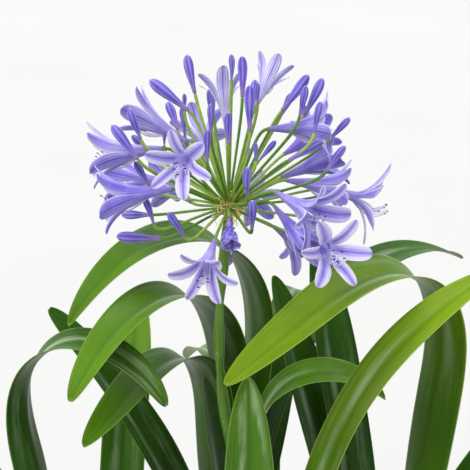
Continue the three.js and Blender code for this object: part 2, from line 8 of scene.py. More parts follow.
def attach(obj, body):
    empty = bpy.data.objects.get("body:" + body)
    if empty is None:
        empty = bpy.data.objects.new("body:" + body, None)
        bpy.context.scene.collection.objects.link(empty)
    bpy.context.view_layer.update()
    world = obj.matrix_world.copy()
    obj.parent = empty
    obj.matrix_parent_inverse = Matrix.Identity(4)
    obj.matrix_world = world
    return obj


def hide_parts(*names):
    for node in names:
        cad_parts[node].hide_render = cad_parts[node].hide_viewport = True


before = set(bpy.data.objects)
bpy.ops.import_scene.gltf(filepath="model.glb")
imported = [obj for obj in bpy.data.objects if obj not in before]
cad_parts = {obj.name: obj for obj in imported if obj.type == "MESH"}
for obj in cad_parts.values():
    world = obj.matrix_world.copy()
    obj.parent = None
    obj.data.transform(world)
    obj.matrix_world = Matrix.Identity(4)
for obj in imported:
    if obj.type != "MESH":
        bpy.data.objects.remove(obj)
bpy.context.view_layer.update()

# ---------------------------------------------------------------- the view
# The viewer stands close in front of the plant, a little above its flower head, and looks
# down on it through a long lens, so that the head fills the upper half of the picture.

MM = 0.001
HUB = Vector((0, 0, 742 * MM))
VIEW_DISTANCE = 900 * MM
VIEW_ELEVATION = math.radians(22)
IMAGE_SIDE = 470
HUB_IN_IMAGE = (229, 207)
METRES_A_PIXEL = 0.75 * MM
SENSOR = 36

view_right = Vector((1, 0, 0))
view_up = Vector((0, math.sin(VIEW_ELEVATION), math.cos(VIEW_ELEVATION)))
view_forward = Vector((0, math.cos(VIEW_ELEVATION), -math.sin(VIEW_ELEVATION)))
view_place = HUB - view_forward * VIEW_DISTANCE
view_target = (
    HUB
    + view_right * (IMAGE_SIDE / 2 - HUB_IN_IMAGE[0]) * METRES_A_PIXEL
    - view_up * (IMAGE_SIDE / 2 - HUB_IN_IMAGE[1]) * METRES_A_PIXEL
)


def new_object(name, data):
    made = bpy.data.objects.new(name, data)
    bpy.context.scene.collection.objects.link(made)
    return made


camera_data = bpy.data.cameras.new("camera")
camera_data.sensor_width = SENSOR
camera_data.lens = SENSOR * VIEW_DISTANCE / METRES_A_PIXEL / IMAGE_SIDE
camera = new_object("camera", camera_data)
camera.location = view_place
camera.rotation_euler = (view_target - view_place).to_track_quat("-Z", "Y").to_euler()
bpy.context.scene.camera = camera

# ---------------------------------------------------------------- pot
# A thrown and fired clay flowerpot, coarse and unglazed, with a heavy rolled rim and drain
# holes in its base. Hard water has left pale lime on it.

POT_HEIGHT = 290 * MM
POT_RIM_RADIUS = 185 * MM
POT_RIM_DEPTH = 48 * MM
POT_RIM_STEP = 9 * MM
POT_RIM_BEVEL = 4 * MM
POT_RIM_TAPER = 1 * MM
POT_FOOT_RADIUS = 128 * MM
POT_FOOT_BEVEL = 3 * MM
POT_WALL = 10 * MM
POT_FLOOR = 14 * MM
DRAIN_HOLES = 4
DRAIN_HOLE_RADIUS = 6 * MM
DRAIN_HOLE_PLACE = 62 * MM
POT_SIDES = 120
POT_SOFT_EDGE = 1.4 * MM


class Value:
    """A number or colour among some nodes. Its maths adds the nodes that work it out."""

    def __init__(self, nodes, socket):
        self.nodes = nodes
        self.socket = socket

    def maths(self, operation, *values):
        return self.nodes.node("ShaderNodeMath", {"operation": operation}, values)

    def __add__(self, other):
        return self.maths("ADD", self, other)

    def __radd__(self, other):
        return self.maths("ADD", other, self)

    def __sub__(self, other):
        return self.maths("SUBTRACT", self, other)

    def __rsub__(self, other):
        return self.maths("SUBTRACT", other, self)

    def __mul__(self, other):
        return self.maths("MULTIPLY", self, other)

    def __rmul__(self, other):
        return self.maths("MULTIPLY", other, self)

    def __abs__(self):
        return self.maths("ABSOLUTE", self)

    def cosine(self):
        return self.maths("COSINE", self)

    def step(self, low, high, start=0.0, end=1.0):
        """A soft step from start, below low, to end, above high."""
        return self.nodes.node(
            "ShaderNodeMapRange",
            {"interpolation_type": "SMOOTHSTEP"},
            {"Value": self, "From Min": low, "From Max": high, "To Min": start, "To Max": end},
        )


class Nodes:
    """The nodes of one finish, or of the sky."""

    def __init__(self, tree):
        self.tree = tree

    def feed(self, socket, value):
        if isinstance(value, Value):
            self.tree.links.new(value.socket, socket)
        else:
            socket.default_value = value

    def node(self, kind, settings, inputs, output=0):
        made = self.tree.nodes.new(kind)
        for setting, value in settings.items():
            setattr(made, setting, value)
        for socket, value in inputs.items() if isinstance(inputs, dict) else enumerate(inputs):
            self.feed(made.inputs[socket], value)
        return Value(self, made.outputs[output])

    def mix(self, share, first, second):
        return self.node(
            "ShaderNodeMix", {"data_type": "RGBA"}, {0: share, 6: first, 7: second}, 2
        )

    def coats(self, colour, *layers):
        """Lays more colours over the first one, each by its own share."""
        for share, layer in layers:
            colour = self.mix(share, colour, layer)
        return colour

    def split(self, vector):
        parts = self.node("ShaderNodeSeparateXYZ", {}, [vector])
        return [Value(self, socket) for socket in parts.socket.node.outputs]

    def join(self, x, y, z):
        return self.node("ShaderNodeCombineXYZ", {}, [x, y, z])

    def noise(self, vector, scale, detail=3.0, roughness=0.5):
        return self.node(
            "ShaderNodeTexNoise",
            {},
            {"Vector": vector, "Scale": scale, "Detail": detail, "Roughness": roughness},
        )


class Finish(Nodes):
    """A material with one Principled shader. Plain values are set on the shader itself."""

    def __init__(self, name, **plain):
        self.material = bpy.data.materials.new(name)
        self.material.use_nodes = True
        super().__init__(self.material.node_tree)
        self.shader = self.tree.nodes["Principled BSDF"]
        self.dress(**plain)

    def dress(self, **values):
        for socket, value in values.items():
            self.feed(self.shader.inputs[socket.replace("_", " ")], value)

    def place(self):
        return self.node("ShaderNodeTexCoord", {}, {}, "Object")

    def across_and_along(self):
        """How far a point lies across a strap, and along it, as shares from 0 to 1."""
        return self.split(self.node("ShaderNodeUVMap", {"uv_map": "UVMap"}, {}))[:2]

    def finish_with(self, colour, roughness, height, distance):
        bump = self.node(
            "ShaderNodeBump", {}, {"Strength": 1.0, "Distance": distance, "Height": height}
        )
        self.dress(Base_Color=colour, Roughness=roughness, Normal=bump)


def tint(red, green, blue):
    """A colour named from 0 to 255, as on a paint card."""

    def straight(level):
        share = level / 255
        return share / 12.92 if share <= 0.04045 else ((share + 0.055) / 1.055) ** 2.4

    return (straight(red), straight(green), straight(blue), 1.0)


def choose(*pieces):
    bpy.ops.object.select_all(action="DESELECT")
    for piece in pieces:
        piece.select_set(True)
    bpy.context.view_layer.objects.active = pieces[0]


def reshape(piece, kind, **settings):
    """Puts one modifier on a piece and applies it."""
    choose(piece)
    modifier = piece.modifiers.new(kind, kind)
    for setting, value in settings.items():
        setattr(modifier, setting, value)
    bpy.ops.object.modifier_apply(modifier=modifier.name)


def open_mesh(piece):
    """Opens a piece for work on its mesh, with all of it chosen."""
    choose(piece)
    bpy.ops.object.mode_set(mode="EDIT")
    bpy.ops.mesh.select_all(action="SELECT")


def close_mesh():
    bpy.ops.object.mode_set(mode="OBJECT")


def face_outwards(piece):
    open_mesh(piece)
    bpy.ops.mesh.normals_make_consistent(inside=False)
    close_mesh()


def settle(piece, name, material, *nodes, slot, smooth=None):
    """Names a finished piece, gives it its finish and fixes it to the plant's one body."""
    piece.name = name
    piece.data.name = name
    if material is not None:
        piece.data.materials.clear()
        piece.data.materials.append(material)
    choose(piece)
    bpy.ops.object.transform_apply()
    if smooth is None:
        bpy.ops.object.shade_smooth()
    else:
        bpy.ops.object.shade_smooth_by_angle(angle=math.radians(smooth))
    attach(piece, "root")
    if nodes:
        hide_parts(*nodes)


clay = Finish("clay", IOR=1.45)
clay_at = clay.place()
clay_x, clay_y, clay_z = clay.split(clay_at)
clay_cloud = clay.noise(clay_at, 9.0, 5.0, 0.6)
clay_grit = clay.noise(clay_at, 700.0, 2.0)
clay_lines = clay.noise(clay.join(clay_x * 4, clay_y * 4, clay_z * 420), 1.0, 2.0)
clay_lime = clay.noise(clay_at, 22.0, 6.0, 0.65).step(0.52, 0.72) * clay_cloud.step(0.4, 0.65)
clay_damp = clay_z.step(0.02, 0.13, 1.0, 0.0) * clay_cloud.step(0.35, 0.6)
clay_colour = clay.coats(
    tint(171, 97, 66),
    (clay_cloud.step(0.3, 0.7), tint(196, 121, 84)),
    (clay_grit.step(0.55, 0.7) * 0.35, tint(122, 66, 46)),
    (clay_damp * 0.5, tint(118, 72, 52)),
    (clay_lime * 0.5, tint(218, 196, 176)),
)
clay.finish_with(
    clay_colour,
    0.78 + 0.14 * clay_lime - 0.1 * clay_damp,
    clay_grit * 0.3 + clay_lines * 0.8 + clay_cloud * 0.4,
    0.7 * MM,
)

inner_foot_radius = POT_FOOT_RADIUS - POT_WALL
inner_rim_radius = POT_RIM_RADIUS - POT_RIM_STEP - POT_WALL


def pot_inside_at(height):
    share = (height - POT_FLOOR) / (POT_HEIGHT - POT_FLOOR)
    return inner_foot_radius + (inner_rim_radius - inner_foot_radius) * share


rim_foot = POT_HEIGHT - POT_RIM_DEPTH
bevel_foot = POT_HEIGHT - POT_RIM_BEVEL
pot_profile = [
    (POT_FOOT_RADIUS, POT_FOOT_BEVEL),
    (pot_inside_at(rim_foot) + POT_WALL, rim_foot),
    (POT_RIM_RADIUS - POT_RIM_BEVEL, rim_foot + POT_RIM_BEVEL / 2),
    (POT_RIM_RADIUS - POT_RIM_TAPER, rim_foot + 2 * POT_RIM_BEVEL),
    (POT_RIM_RADIUS, bevel_foot),
    (POT_RIM_RADIUS - POT_RIM_BEVEL, POT_HEIGHT),
    (inner_rim_radius + POT_RIM_BEVEL, POT_HEIGHT),
    (pot_inside_at(bevel_foot), bevel_foot),
    (inner_foot_radius, POT_FLOOR),
]
pot_radius, pot_level = POT_FOOT_RADIUS - POT_FOOT_BEVEL, 0.0
bpy.ops.mesh.primitive_circle_add(vertices=POT_SIDES, radius=pot_radius, fill_type="NGON")
pot = bpy.context.object
open_mesh(pot)
for radius, level in pot_profile:
    bpy.ops.mesh.extrude_region_move(
        TRANSFORM_OT_translate={"value": (0, 0, level - pot_level)}
    )
    wider = radius / pot_radius
    bpy.ops.transform.resize(value=(wider, wider, 1), center_override=(0, 0, 0))
    pot_radius, pot_level = radius, level
close_mesh()
face_outwards(pot)
for k in range(DRAIN_HOLES):
    turn = 2 * math.pi * (k + 0.5) / DRAIN_HOLES
    bpy.ops.mesh.primitive_cylinder_add(
        vertices=32,
        radius=DRAIN_HOLE_RADIUS,
        depth=3 * POT_FLOOR,
        location=(DRAIN_HOLE_PLACE * math.cos(turn), DRAIN_HOLE_PLACE * math.sin(turn), 0),
    )
    drill = bpy.context.object
    reshape(pot, "BOOLEAN", object=drill, operation="DIFFERENCE")
    bpy.data.objects.remove(drill)
reshape(
    pot,
    "BEVEL",
    width=POT_SOFT_EDGE,
    segments=3,
    limit_method="ANGLE",
    angle_limit=math.radians(18),
)
settle(pot, "clay_pot", clay.material, "pot", slot="clay", smooth=30)

# ---------------------------------------------------------------- soil
# Dark potting mix, crumbly on top, pressed in by watering. It lies a little lower where the
# rhizome runs, and chips of composted bark are strewn over it.

SOIL_LEVEL = 258 * MM
SOIL_DEPTH = 60 * MM
SOIL_CELLS = 130
SOIL_CLEARANCE = 0.8 * MM
SOIL_LUMPS = ((28, 2.2), (90, 1.3), (260, 0.7))
CROWN_RADIUS = 22 * MM
RUNNER_WIDTH = 24 * MM
RUNNER_SINK = 5 * MM
BARK_CHIPS = 260
BARK_LENGTHS = (5 * MM, 15 * MM)
BARK_THICKNESSES = (1.5 * MM, 3.2 * MM)
BARK_EDGE = 0.5 * MM
BARK_LIFT = 1.2 * MM
BARK_TO_WALL = 8 * MM
BARK_TO_RHIZOME = 4 * MM
# Each crown: its place to the right of the pot's middle and behind it, in millimetres, and the
# heading of its fan of leaves, in degrees.
CROWNS = {
    "centre": (12, 4, 150),
    "right": (131, 0, 185),
    "left": (-128, 20, 205),
    "back": (0, 118, 232),
    "front": (12, -112, 50),
}
MAIN_CROWN = Vector(CROWNS["centre"][:2]) * MM


def smooth_step(x):
    x = min(1.0, max(0.0, x))
    return x * x * (3 - 2 * x)


def to_rhizome(x, y):
    """How far a place on the soil is from the rhizome's edge."""
    nearest = 1.0
    here = Vector((x, y))
    for crown_x, crown_y, _ in CROWNS.values():
        crown = Vector((crown_x, crown_y)) * MM
        nearest = min(nearest, (here - crown).length - CROWN_RADIUS)
        run = crown - MAIN_CROWN
        if run.length > 0:
            share = min(1.0, max(0.0, (here - MAIN_CROWN).dot(run) / run.length_squared))
            nearest = min(nearest, (here - MAIN_CROWN - run * share).length - RUNNER_WIDTH / 2)
    return nearest


def joined(pieces):
    """The pieces as one object, which takes the place of the first."""
    choose(*pieces)
    bpy.ops.object.join()
    return pieces[0]


def soil_height(x, y):
    here = Vector((x, y, 0))
    lumps = sum(height * noise.noise(here * pitch) for pitch, height in SOIL_LUMPS)
    sunk = RUNNER_SINK * (1 - smooth_step(to_rhizome(x, y) / (10 * MM) + 0.4))
    return SOIL_LEVEL + lumps * MM - sunk


def new_sheet(columns, rows):
    """A flat sheet of cells, from -1 to 1 both ways, to be bent into shape."""
    bpy.ops.mesh.primitive_grid_add(x_subdivisions=columns, y_subdivisions=rows, size=2)
    return bpy.context.object


earth = Finish("potting_mix", IOR=1.4)
earth_at = earth.place()
earth_crumb = earth.noise(earth_at, 420.0, 4.0, 0.7)
earth_cloud = earth.noise(earth_at, 30.0, 3.0)
earth_colour = earth.mix(earth_crumb.step(0.35, 0.65), tint(38, 26, 18), tint(74, 53, 38))
earth_colour = earth.mix(earth_cloud.step(0.45, 0.7) * 0.5, earth_colour, tint(94, 70, 50))
earth.finish_with(earth_colour, 0.95 - 0.15 * earth_cloud, earth_crumb, 2.0 * MM)

soil = new_sheet(SOIL_CELLS, SOIL_CELLS)
soil_radius = pot_inside_at(SOIL_LEVEL) - SOIL_CLEARANCE
for vertex in soil.data.vertices:
    x, y = vertex.co.x, vertex.co.y
    vertex.co.x = soil_radius * x * math.sqrt(1 - y * y / 2)
    vertex.co.y = soil_radius * y * math.sqrt(1 - x * x / 2)
    vertex.co.z = SOIL_LEVEL - SOIL_DEPTH
open_mesh(soil)
bpy.ops.mesh.extrude_region_move(TRANSFORM_OT_translate={"value": (0, 0, SOIL_DEPTH)})
close_mesh()
face_outwards(soil)
soil_narrowing = (pot_inside_at(SOIL_LEVEL - SOIL_DEPTH) - SOIL_CLEARANCE) / soil_radius
for vertex in soil.data.vertices:
    if vertex.co.z > SOIL_LEVEL - SOIL_DEPTH / 2:
        vertex.co.z = soil_height(vertex.co.x, vertex.co.y)
    else:
        vertex.co.x *= soil_narrowing
        vertex.co.y *= soil_narrowing
settle(soil, "potting_soil", earth.material, "soil", slot="soil")

bark = Finish("bark", IOR=1.45)
bark_at = bark.place()
bark_x, bark_y, bark_z = bark.split(bark_at)
bark_grain = bark.noise(bark.join(bark_x * 60, bark_y * 240, bark_z * 200), 1.0, 4.0, 0.6)
bark_cloud = bark.noise(bark_at, 60.0, 1.0)
bark_colour = bark.mix(bark_grain.step(0.3, 0.7), tint(52, 34, 24), tint(122, 84, 58))
bark_colour = bark.mix(bark_cloud.step(0.5, 0.6) * 0.6, bark_colour, tint(158, 124, 92))
bark.finish_with(bark_colour, 0.9 - 0.1 * bark_cloud, bark_grain, 0.8 * MM)

chance = random.Random(11)
chips = []
while len(chips) < BARK_CHIPS:
    turn = chance.uniform(0, 2 * math.pi)
    reach = (soil_radius - BARK_TO_WALL) * math.sqrt(chance.random())
    x, y = reach * math.cos(turn), reach * math.sin(turn)
    if to_rhizome(x, y) < BARK_TO_RHIZOME:
        continue
    length = chance.uniform(*BARK_LENGTHS)
    bpy.ops.mesh.primitive_cube_add(
        size=1,
        location=(x, y, soil_height(x, y) + BARK_LIFT),
        rotation=(chance.uniform(-0.35, 0.35), chance.uniform(-0.35, 0.35), chance.uniform(0, 3.1)),
        scale=(length, length * chance.uniform(0.35, 0.7), chance.uniform(*BARK_THICKNESSES)),
    )
    chip = bpy.context.object
    for vertex in chip.data.vertices:
        vertex.co.x *= chance.uniform(0.55, 1)
        vertex.co.y *= chance.uniform(0.4, 1)
        vertex.co.z *= chance.uniform(0.5, 1)
    chips.append(chip)
mulch = joined(chips)
reshape(mulch, "BEVEL", width=BARK_EDGE, segments=1)
settle(mulch, "bark_chips", bark.material, slot="soil", smooth=40)

# ---------------------------------------------------------------- rhizome
# The plant's own thick creeping stem, half out of the soil: five crowns joined by runners,
# with a tan, ringed and fibrous skin. Each crown carries a fan of leaves.

RUNNER_TOP = 256 * MM
RUNNER_ROUND = 4 * MM
RHIZOME_VOXEL = 2.4 * MM

rhizome_skin = Finish("rhizome_skin", IOR=1.4)
skin_at = rhizome_skin.place()
skin_x, skin_y, skin_z = rhizome_skin.split(skin_at)
skin_fibre = rhizome_skin.noise(
    rhizome_skin.join(skin_x * 500, skin_y * 500, skin_z * 60), 1.0, 3.0, 0.6
)
skin_cloud = rhizome_skin.noise(skin_at, 55.0, 3.0)
skin_colour = rhizome_skin.mix(skin_fibre.step(0.3, 0.7), tint(88, 70, 44), tint(152, 134, 92))
skin_colour = rhizome_skin.mix(skin_cloud.step(0.5, 0.75) * 0.6, skin_colour, tint(140, 158, 86))
rhizome_skin.finish_with(skin_colour, 0.85 - 0.1 * skin_cloud, skin_fibre, 0.8 * MM)


def copy_of_node(name):
    """A copy of a CAD node whose loose triangles are merged to one skin, in quads."""
    piece = new_object(name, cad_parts[name].data.copy())
    open_mesh(piece)
    bpy.ops.mesh.remove_doubles(threshold=0.01 * MM)
    bpy.ops.mesh.tris_convert_to_quads(face_threshold=0.6, shape_threshold=0.6)
    close_mesh()
    return piece


rhizome = copy_of_node("rhizome")
reshape(rhizome, "REMESH", mode="VOXEL", voxel_size=RHIZOME_VOXEL)
reshape(rhizome, "SMOOTH", iterations=12)
for vertex in rhizome.data.vertices:
    inside = smooth_step(-to_rhizome(vertex.co.x, vertex.co.y) / (RUNNER_WIDTH / 2))
    wander = noise.noise(vertex.co * 40)
    along = (vertex.co.xy - MAIN_CROWN).length
    ring = 0.5 * math.sin(vertex.co.z * 1400 + 3 * wander)
    if vertex.co.z < RUNNER_TOP + 2 * MM:
        ring = 0.8 * math.sin(along * 900 + 4 * wander)
        vertex.co.z += RUNNER_ROUND * inside
    swell = 2.2 * noise.noise(vertex.co * 45)
    vertex.co += vertex.normal * (ring + swell - 0.3) * MM
settle(rhizome, "creeping_stem", rhizome_skin.material, "rhizome", slot="rhizome_skin")

# ---------------------------------------------------------------- leaves
# Long smooth straps that stand up from the crowns in flat fans and arch over. Each is a
# shallow channel, fleshy along its middle, with fine parallel veins, a pale thin margin and a
# bleached foot. Painted shade darkens the channel, the middle line and the lower part of the
# strap, the tip is painted lighter, and pale patches of painted sheen lie over the middle of its
# length.

UP = Vector((0, 0, 1))
CROWN_TOP = 264 * MM
CROWN_GAP = 0.3 * MM
LEAF_THICKNESS_FOOT = 3 * MM
LEAF_THICKNESS_TIP = 1 * MM
LEAF_EDGE = 0.6 * MM
LEAF_PITCH = 3.8 * MM
LEAF_FIRST = 7.5 * MM
LEAF_FOOT_WIDTH = 0.62
LEAF_WIDE_FROM = 0.4
LEAF_TAPER_FROM = 0.68
LEAF_CHANNEL_FOOT = 0.19
LEAF_CHANNEL_TIP = 0.12
LEAF_FOLD = 1.35
LEAF_CREASE = 7.0
LEAF_STEPS = 100
LEAF_ROOT = 7 * MM
LEAF_REACH = 0.9993
LEAF_COLUMNS = 14
LEAF_ROWS = 92
LEAF_CROWDING = 1.35
LEAF_TIP_FULLNESS = 2.2
LEAF_TIP_ROUNDNESS = 0.54
# Each leaf: its crown, its place in the fan (1 next to the middle, minus on the far side),
# heading, length, lean from upright below and above its bend, the shares of its length where
# the bend begins and ends, width and finish. Angles are in degrees.
LEAVES = [
    ("back", 1, 219, 585, -8, 150, 0.42, 1.1, 42, "green"),
    ("back", 2, 236, 555, -2, 141, 0.38, 1.1, 44, "green"),
    ("back", 3, 239, 475, 3, 105, 0.46, 0.9, 42, "green"),
    ("back", -1, 40, 540, 12, 130, 0.2, 1.15, 42, "deep"),
    ("back", -2, 78, 500, 17, 145, 0.1, 1.15, 42, "deep"),
    ("back", -3, 110, 430, 23, 140, 0, 1.15, 40, "green"),
    ("right", 1, 219, 632, -9, 110, 0.48, 0.88, 46, "fresh"),
    ("right", 2, 120, 430, 2, 22, 0, 1, 40, "deep"),
    ("right", 3, 140, 410, 6, 22, 0, 1, 42, "deep"),
    ("right", -1, 30, 500, 15, 125, 0.15, 1.15, 44, "green"),
    ("right", -2, 342, 460, 20, 145, 0.1, 1.15, 42, "fresh"),
    ("right", -3, 5, 390, 26, 135, 0, 1.15, 40, "green"),
    ("centre", 1, 150, 320, 1, 10, 0, 1, 38, "deep"),
    ("centre", 2, 152, 400, 9, 50, 0, 1.1, 42, "deep"),
    ("centre", -1, 352, 420, 1, 170, 0.6, 1.15, 38, "green"),
    ("centre", -2, 315, 400, 8, 145, 0.1, 1.15, 38, "green"),
    ("left", 1, 165, 520, 12, 140, 0.15, 1.15, 42, "green"),
    ("left", 2, 203, 480, 17, 150, 0.1, 1.15, 42, "fresh"),
    ("left", 3, 180, 400, 22, 140, 0, 1.15, 40, "green"),
    ("left", -1, 335, 485, -11, 160, 0.5, 1.1, 40, "sheen_painted"),
    ("left", -2, 85, 370, 10, 65, 0.1, 1.15, 40, "green"),
    ("front", 1, 92, 370, -1, 26, 0.2, 1.1, 40, "sheen_painted"),
    ("front", 2, 14, 505, 12, 66, 0.48, 1.1, 40, "fresh"),
    ("front", -1, 215, 400, 6, 135, 0.1, 1.15, 40, "green"),
    ("front", -2, 255, 400, 12, 145, 0.1, 1.15, 40, "fresh"),
    ("front", -3, 295, 380, 18, 135, 0, 1.15, 40, "green"),
]


def leaf_finish(name, shade, light, margin, painted_sheen=0.42, painted_sheen_end=0.85):
    """Leaf green, from `shade` to `light` in random clouds and streaks, with fine darker veins.
    Painted shade darkens the channel, the middle line and the lower part of the strap, and the
    tip is painted lighter. Pale patches of painted sheen are as strong as the share given after
    `margin`, and end at the share of the length given last."""
    soak = (0.0012, 0.003, 0.0006)
    skin = Finish(name, IOR=1.24, Subsurface_Weight=0.16, Subsurface_Radius=soak)
    across, along = skin.across_and_along()
    at = skin.place()
    off_middle = abs(across - 0.5) * 2
    streaks = skin.noise(skin.join(across * 16, along * 2.5, 0.0), 1.0, 3.0, 0.55)
    cloud = skin.noise(at, 9.0, 3.0, 0.55)
    veins = (across * (2 * math.pi * 21)).cosine()
    painted_channel_shade = off_middle.step(0.0, 0.35, 1.0, 0.0)
    # Random tone from clouds and streaks, held back on the lower part of the strap as painted
    # shade, with the tip painted lighter.
    tone_and_painted_light = cloud.step(0.34, 0.62) * 0.4 + streaks.step(0.35, 0.7) * 0.25
    tone_and_painted_light = tone_and_painted_light * along.step(0.3, 0.8, 0.4) + along.step(0.55, 0.92) * 0.45
    # Pale patches of painted sheen over the middle of the length, away from the middle line and
    # margin.
    bloom = skin.noise(skin.join(across * 4, along * 5, 0.0), 1.0, 3.0, 0.5).step(0.42, 0.72)
    bloom = bloom * along.step(0.3, 0.5) * along.step(painted_sheen_end, painted_sheen_end - 0.2)
    bloom = bloom * off_middle.step(0.04, 0.3) * off_middle.step(0.95, 0.4)
    fleck = skin.noise(at, 160.0, 2.0).step(0.76, 0.82)
    colour = skin.coats(
        shade,
        (tone_and_painted_light, light),
        (veins.step(0.2, 1.0) * 0.09, shade),
        # Painted shade in the channel and along its middle line.
        (painted_channel_shade * 0.25, shade),
        (off_middle.step(0.04, 0.0) * 0.3, shade),
        (off_middle.step(0.955, 0.995) * 0.5, margin),
        (along.step(0.0, 0.17, 0.8, 0.0), tint(196, 205, 150)),
        (along.step(0.975, 1.0) * 0.55, margin),
        # the painted sheen
        (bloom * painted_sheen, tint(180, 196, 160)),
        (fleck * 0.3, margin),
    )
    skin.finish_with(
        colour,
        0.2 + 0.18 * cloud + 0.12 * streaks,
        veins * 0.22 + streaks * 1.4 + off_middle * LEAF_CREASE,
        0.3 * MM,
    )
    return skin.material


# Greens partly own tone, partly painted light: fresh on top-lit leaves, deep as painted shade.
LEAF_FINISHES = {
    "fresh": leaf_finish("leaf_fresh", tint(50, 92, 5), tint(124, 156, 16), tint(178, 194, 96)),
    "green": leaf_finish("leaf_green", tint(38, 82, 4), tint(94, 136, 18), tint(158, 182, 88)),
    "deep": leaf_finish("leaf_deep", tint(26, 64, 3), tint(56, 102, 9), tint(108, 142, 50)),
    # A green with stronger painted sheen, which runs on to the tip.
    "sheen_painted": leaf_finish(
        "leaf_sheen_painted",
        tint(34, 76, 8),
        tint(78, 120, 26),
        tint(150, 176, 96),
        painted_sheen=0.62,
        painted_sheen_end=1.08,
    ),
}


def blended(first, second, share):
    return first + (second - first) * share


def leaf_half_width(s, width):
    widening = blended(LEAF_FOOT_WIDTH, 1, smooth_step(s / LEAF_WIDE_FROM))
    towards_tip = min(1, max(0, (s - LEAF_TAPER_FROM) / (1 - LEAF_TAPER_FROM)))
    tip = (1 - towards_tip**LEAF_TIP_FULLNESS) ** LEAF_TIP_ROUNDNESS
    return width / 2 * widening * max(0.02, tip)


def level_way(angle):
    return Vector((math.cos(angle), math.sin(angle), 0))


def rolled(first, second, angle):
    """Two directions that stand square to each other, turned together by an angle."""
    return (
        first * math.cos(angle) + second * math.sin(angle),
        second * math.cos(angle) - first * math.sin(angle),
    )


def leaf_way(crown_fan, place, heading, lean, bend, s):
    """At share s of a leaf's length: along it, out of its upper face, and across it."""
    start = math.radians(crown_fan if place > 0 else crown_fan + 180)
    turn = math.radians(heading) - start
    turn = math.atan2(math.sin(turn), math.cos(turn))
    bent = smooth_step((s - bend[0]) / (bend[1] - bend[0]))
    tilt = math.radians(blended(lean[0], lean[1], bent))
    compass = start + turn * smooth_step(s / 0.5)
    level = level_way(compass)
    along = level * math.sin(tilt) + UP * math.cos(tilt)
    upper = level * -math.cos(tilt) + UP * math.sin(tilt)
    return along, upper, along.cross(upper)


def make_leaf(number, row, chance):
    crown, place, heading, length, low, high, bend_from, bend_to, width, finish = row
    length, width = length * MM, width * MM
    lean, bend = (low, high), (bend_from, bend_to)
    crown_x, crown_y, fan = CROWNS[crown]
    foot = math.copysign(LEAF_FIRST + LEAF_PITCH * (abs(place) - 1), place)
    crown_top = Vector((crown_x * MM, crown_y * MM, CROWN_TOP + CROWN_GAP))
    line = [crown_top + level_way(math.radians(fan)) * foot]
    for step in range(LEAF_STEPS):
        along = leaf_way(fan, place, heading, lean, bend, (step + 0.5) / LEAF_STEPS)[0]
        line.append(line[-1] + along * length / LEAF_STEPS)
    leaf = new_sheet(LEAF_COLUMNS, LEAF_ROWS)
    group = leaf.vertex_groups.new(name="thickness")
    phase, wave = chance.uniform(0, 6.3), chance.uniform(0.5, 1.3) * MM
    twist = math.radians(chance.uniform(-7, 7))
    for vertex in leaf.data.vertices:
        side, raw = vertex.co.x, vertex.co.y / 2 + 0.5
        s = LEAF_REACH * (1 - (1 - raw) ** LEAF_CROWDING)
        step = min(LEAF_STEPS - 1, int(s * LEAF_STEPS))
        middle = line[step].lerp(line[step + 1], s * LEAF_STEPS - step)
        along, upper, across = leaf_way(fan, place, heading, lean, bend, s)
        across, upper = rolled(across, upper, twist * smooth_step(s))
        half = leaf_half_width(s, width)
        rise = 2 * half * blended(LEAF_CHANNEL_FOOT, LEAF_CHANNEL_TIP, s)
        ripple = wave * math.sin(phase + 17 * s + 1.5 * side) * side * side * smooth_step(3 * s)
        vertex.co = middle + across * side * half + upper * (rise * abs(side) ** LEAF_FOLD + ripple)
        if raw == 0:
            vertex.co -= along * LEAF_ROOT
        fleshy = blended(LEAF_THICKNESS_FOOT, LEAF_THICKNESS_TIP, smooth_step(s / 0.7))
        thick = blended(LEAF_EDGE, fleshy, (1 - side * side) ** 1.2)
        group.add([vertex.index], thick / LEAF_THICKNESS_FOOT, "REPLACE")
    reshape(
        leaf, "SOLIDIFY", thickness=LEAF_THICKNESS_FOOT, offset=-1, vertex_group="thickness"
    )
    leaf.vertex_groups.clear()
    node = f"leaf_{number:02d}"
    settle(leaf, "strap_" + node, LEAF_FINISHES[finish], node, slot="leaf")


chance = random.Random(23)
for number, row in enumerate(LEAVES, 1):
    make_leaf(number, row, chance)

# ---------------------------------------------------------------- flowering stem
# The bare round stalk that carries the flowers, as thick as a finger below and slimmer at the
# top. It is firm and juicy, green, with fine pale lines along it.

stem = Finish("flowering_stem", IOR=1.45)
stem_at = stem.place()
stem_x, stem_y, stem_z = stem.split(stem_at)
stem_lines = stem.noise(stem.join(stem_x * 700, stem_y * 700, stem_z * 9), 1.0, 3.0, 0.6)
stem_cloud = stem.noise(stem_at, 24.0, 2.0)
stem_fleck = stem.noise(stem_at, 260.0, 1.0).step(0.72, 0.78)
stem_colour = stem.coats(
    tint(58, 98, 14),
    (stem_lines.step(0.3, 0.7), tint(94, 134, 34)),
    (stem_cloud.step(0.4, 0.7) * 0.4, tint(110, 148, 52)),
    (stem_fleck * 0.5, tint(176, 196, 120)),
)
stem.finish_with(stem_colour, 0.4 + 0.15 * stem_lines, stem_lines, 0.5 * MM)

scape = copy_of_node("scape")
reshape(scape, "SUBSURF", levels=2, render_levels=2)
settle(scape, "flowering_stem", stem.material, "scape", slot="stem")

# ---------------------------------------------------------------- flower stalks and hub
# Where the stem ends, some sixty thin yellow-green stalks spring from one small knob, each
# to its own flower or bud. Between their feet curl the dry threads of the bracts.

HUB_RADIUS = 7.5 * MM
STALK_RADIUS = 1.1 * MM
TUBE_FOOT_RADIUS = 1.7 * MM
HEAD_TILT = math.radians(22)
BRACT_THREADS = 46
THREAD_HOPS = 19
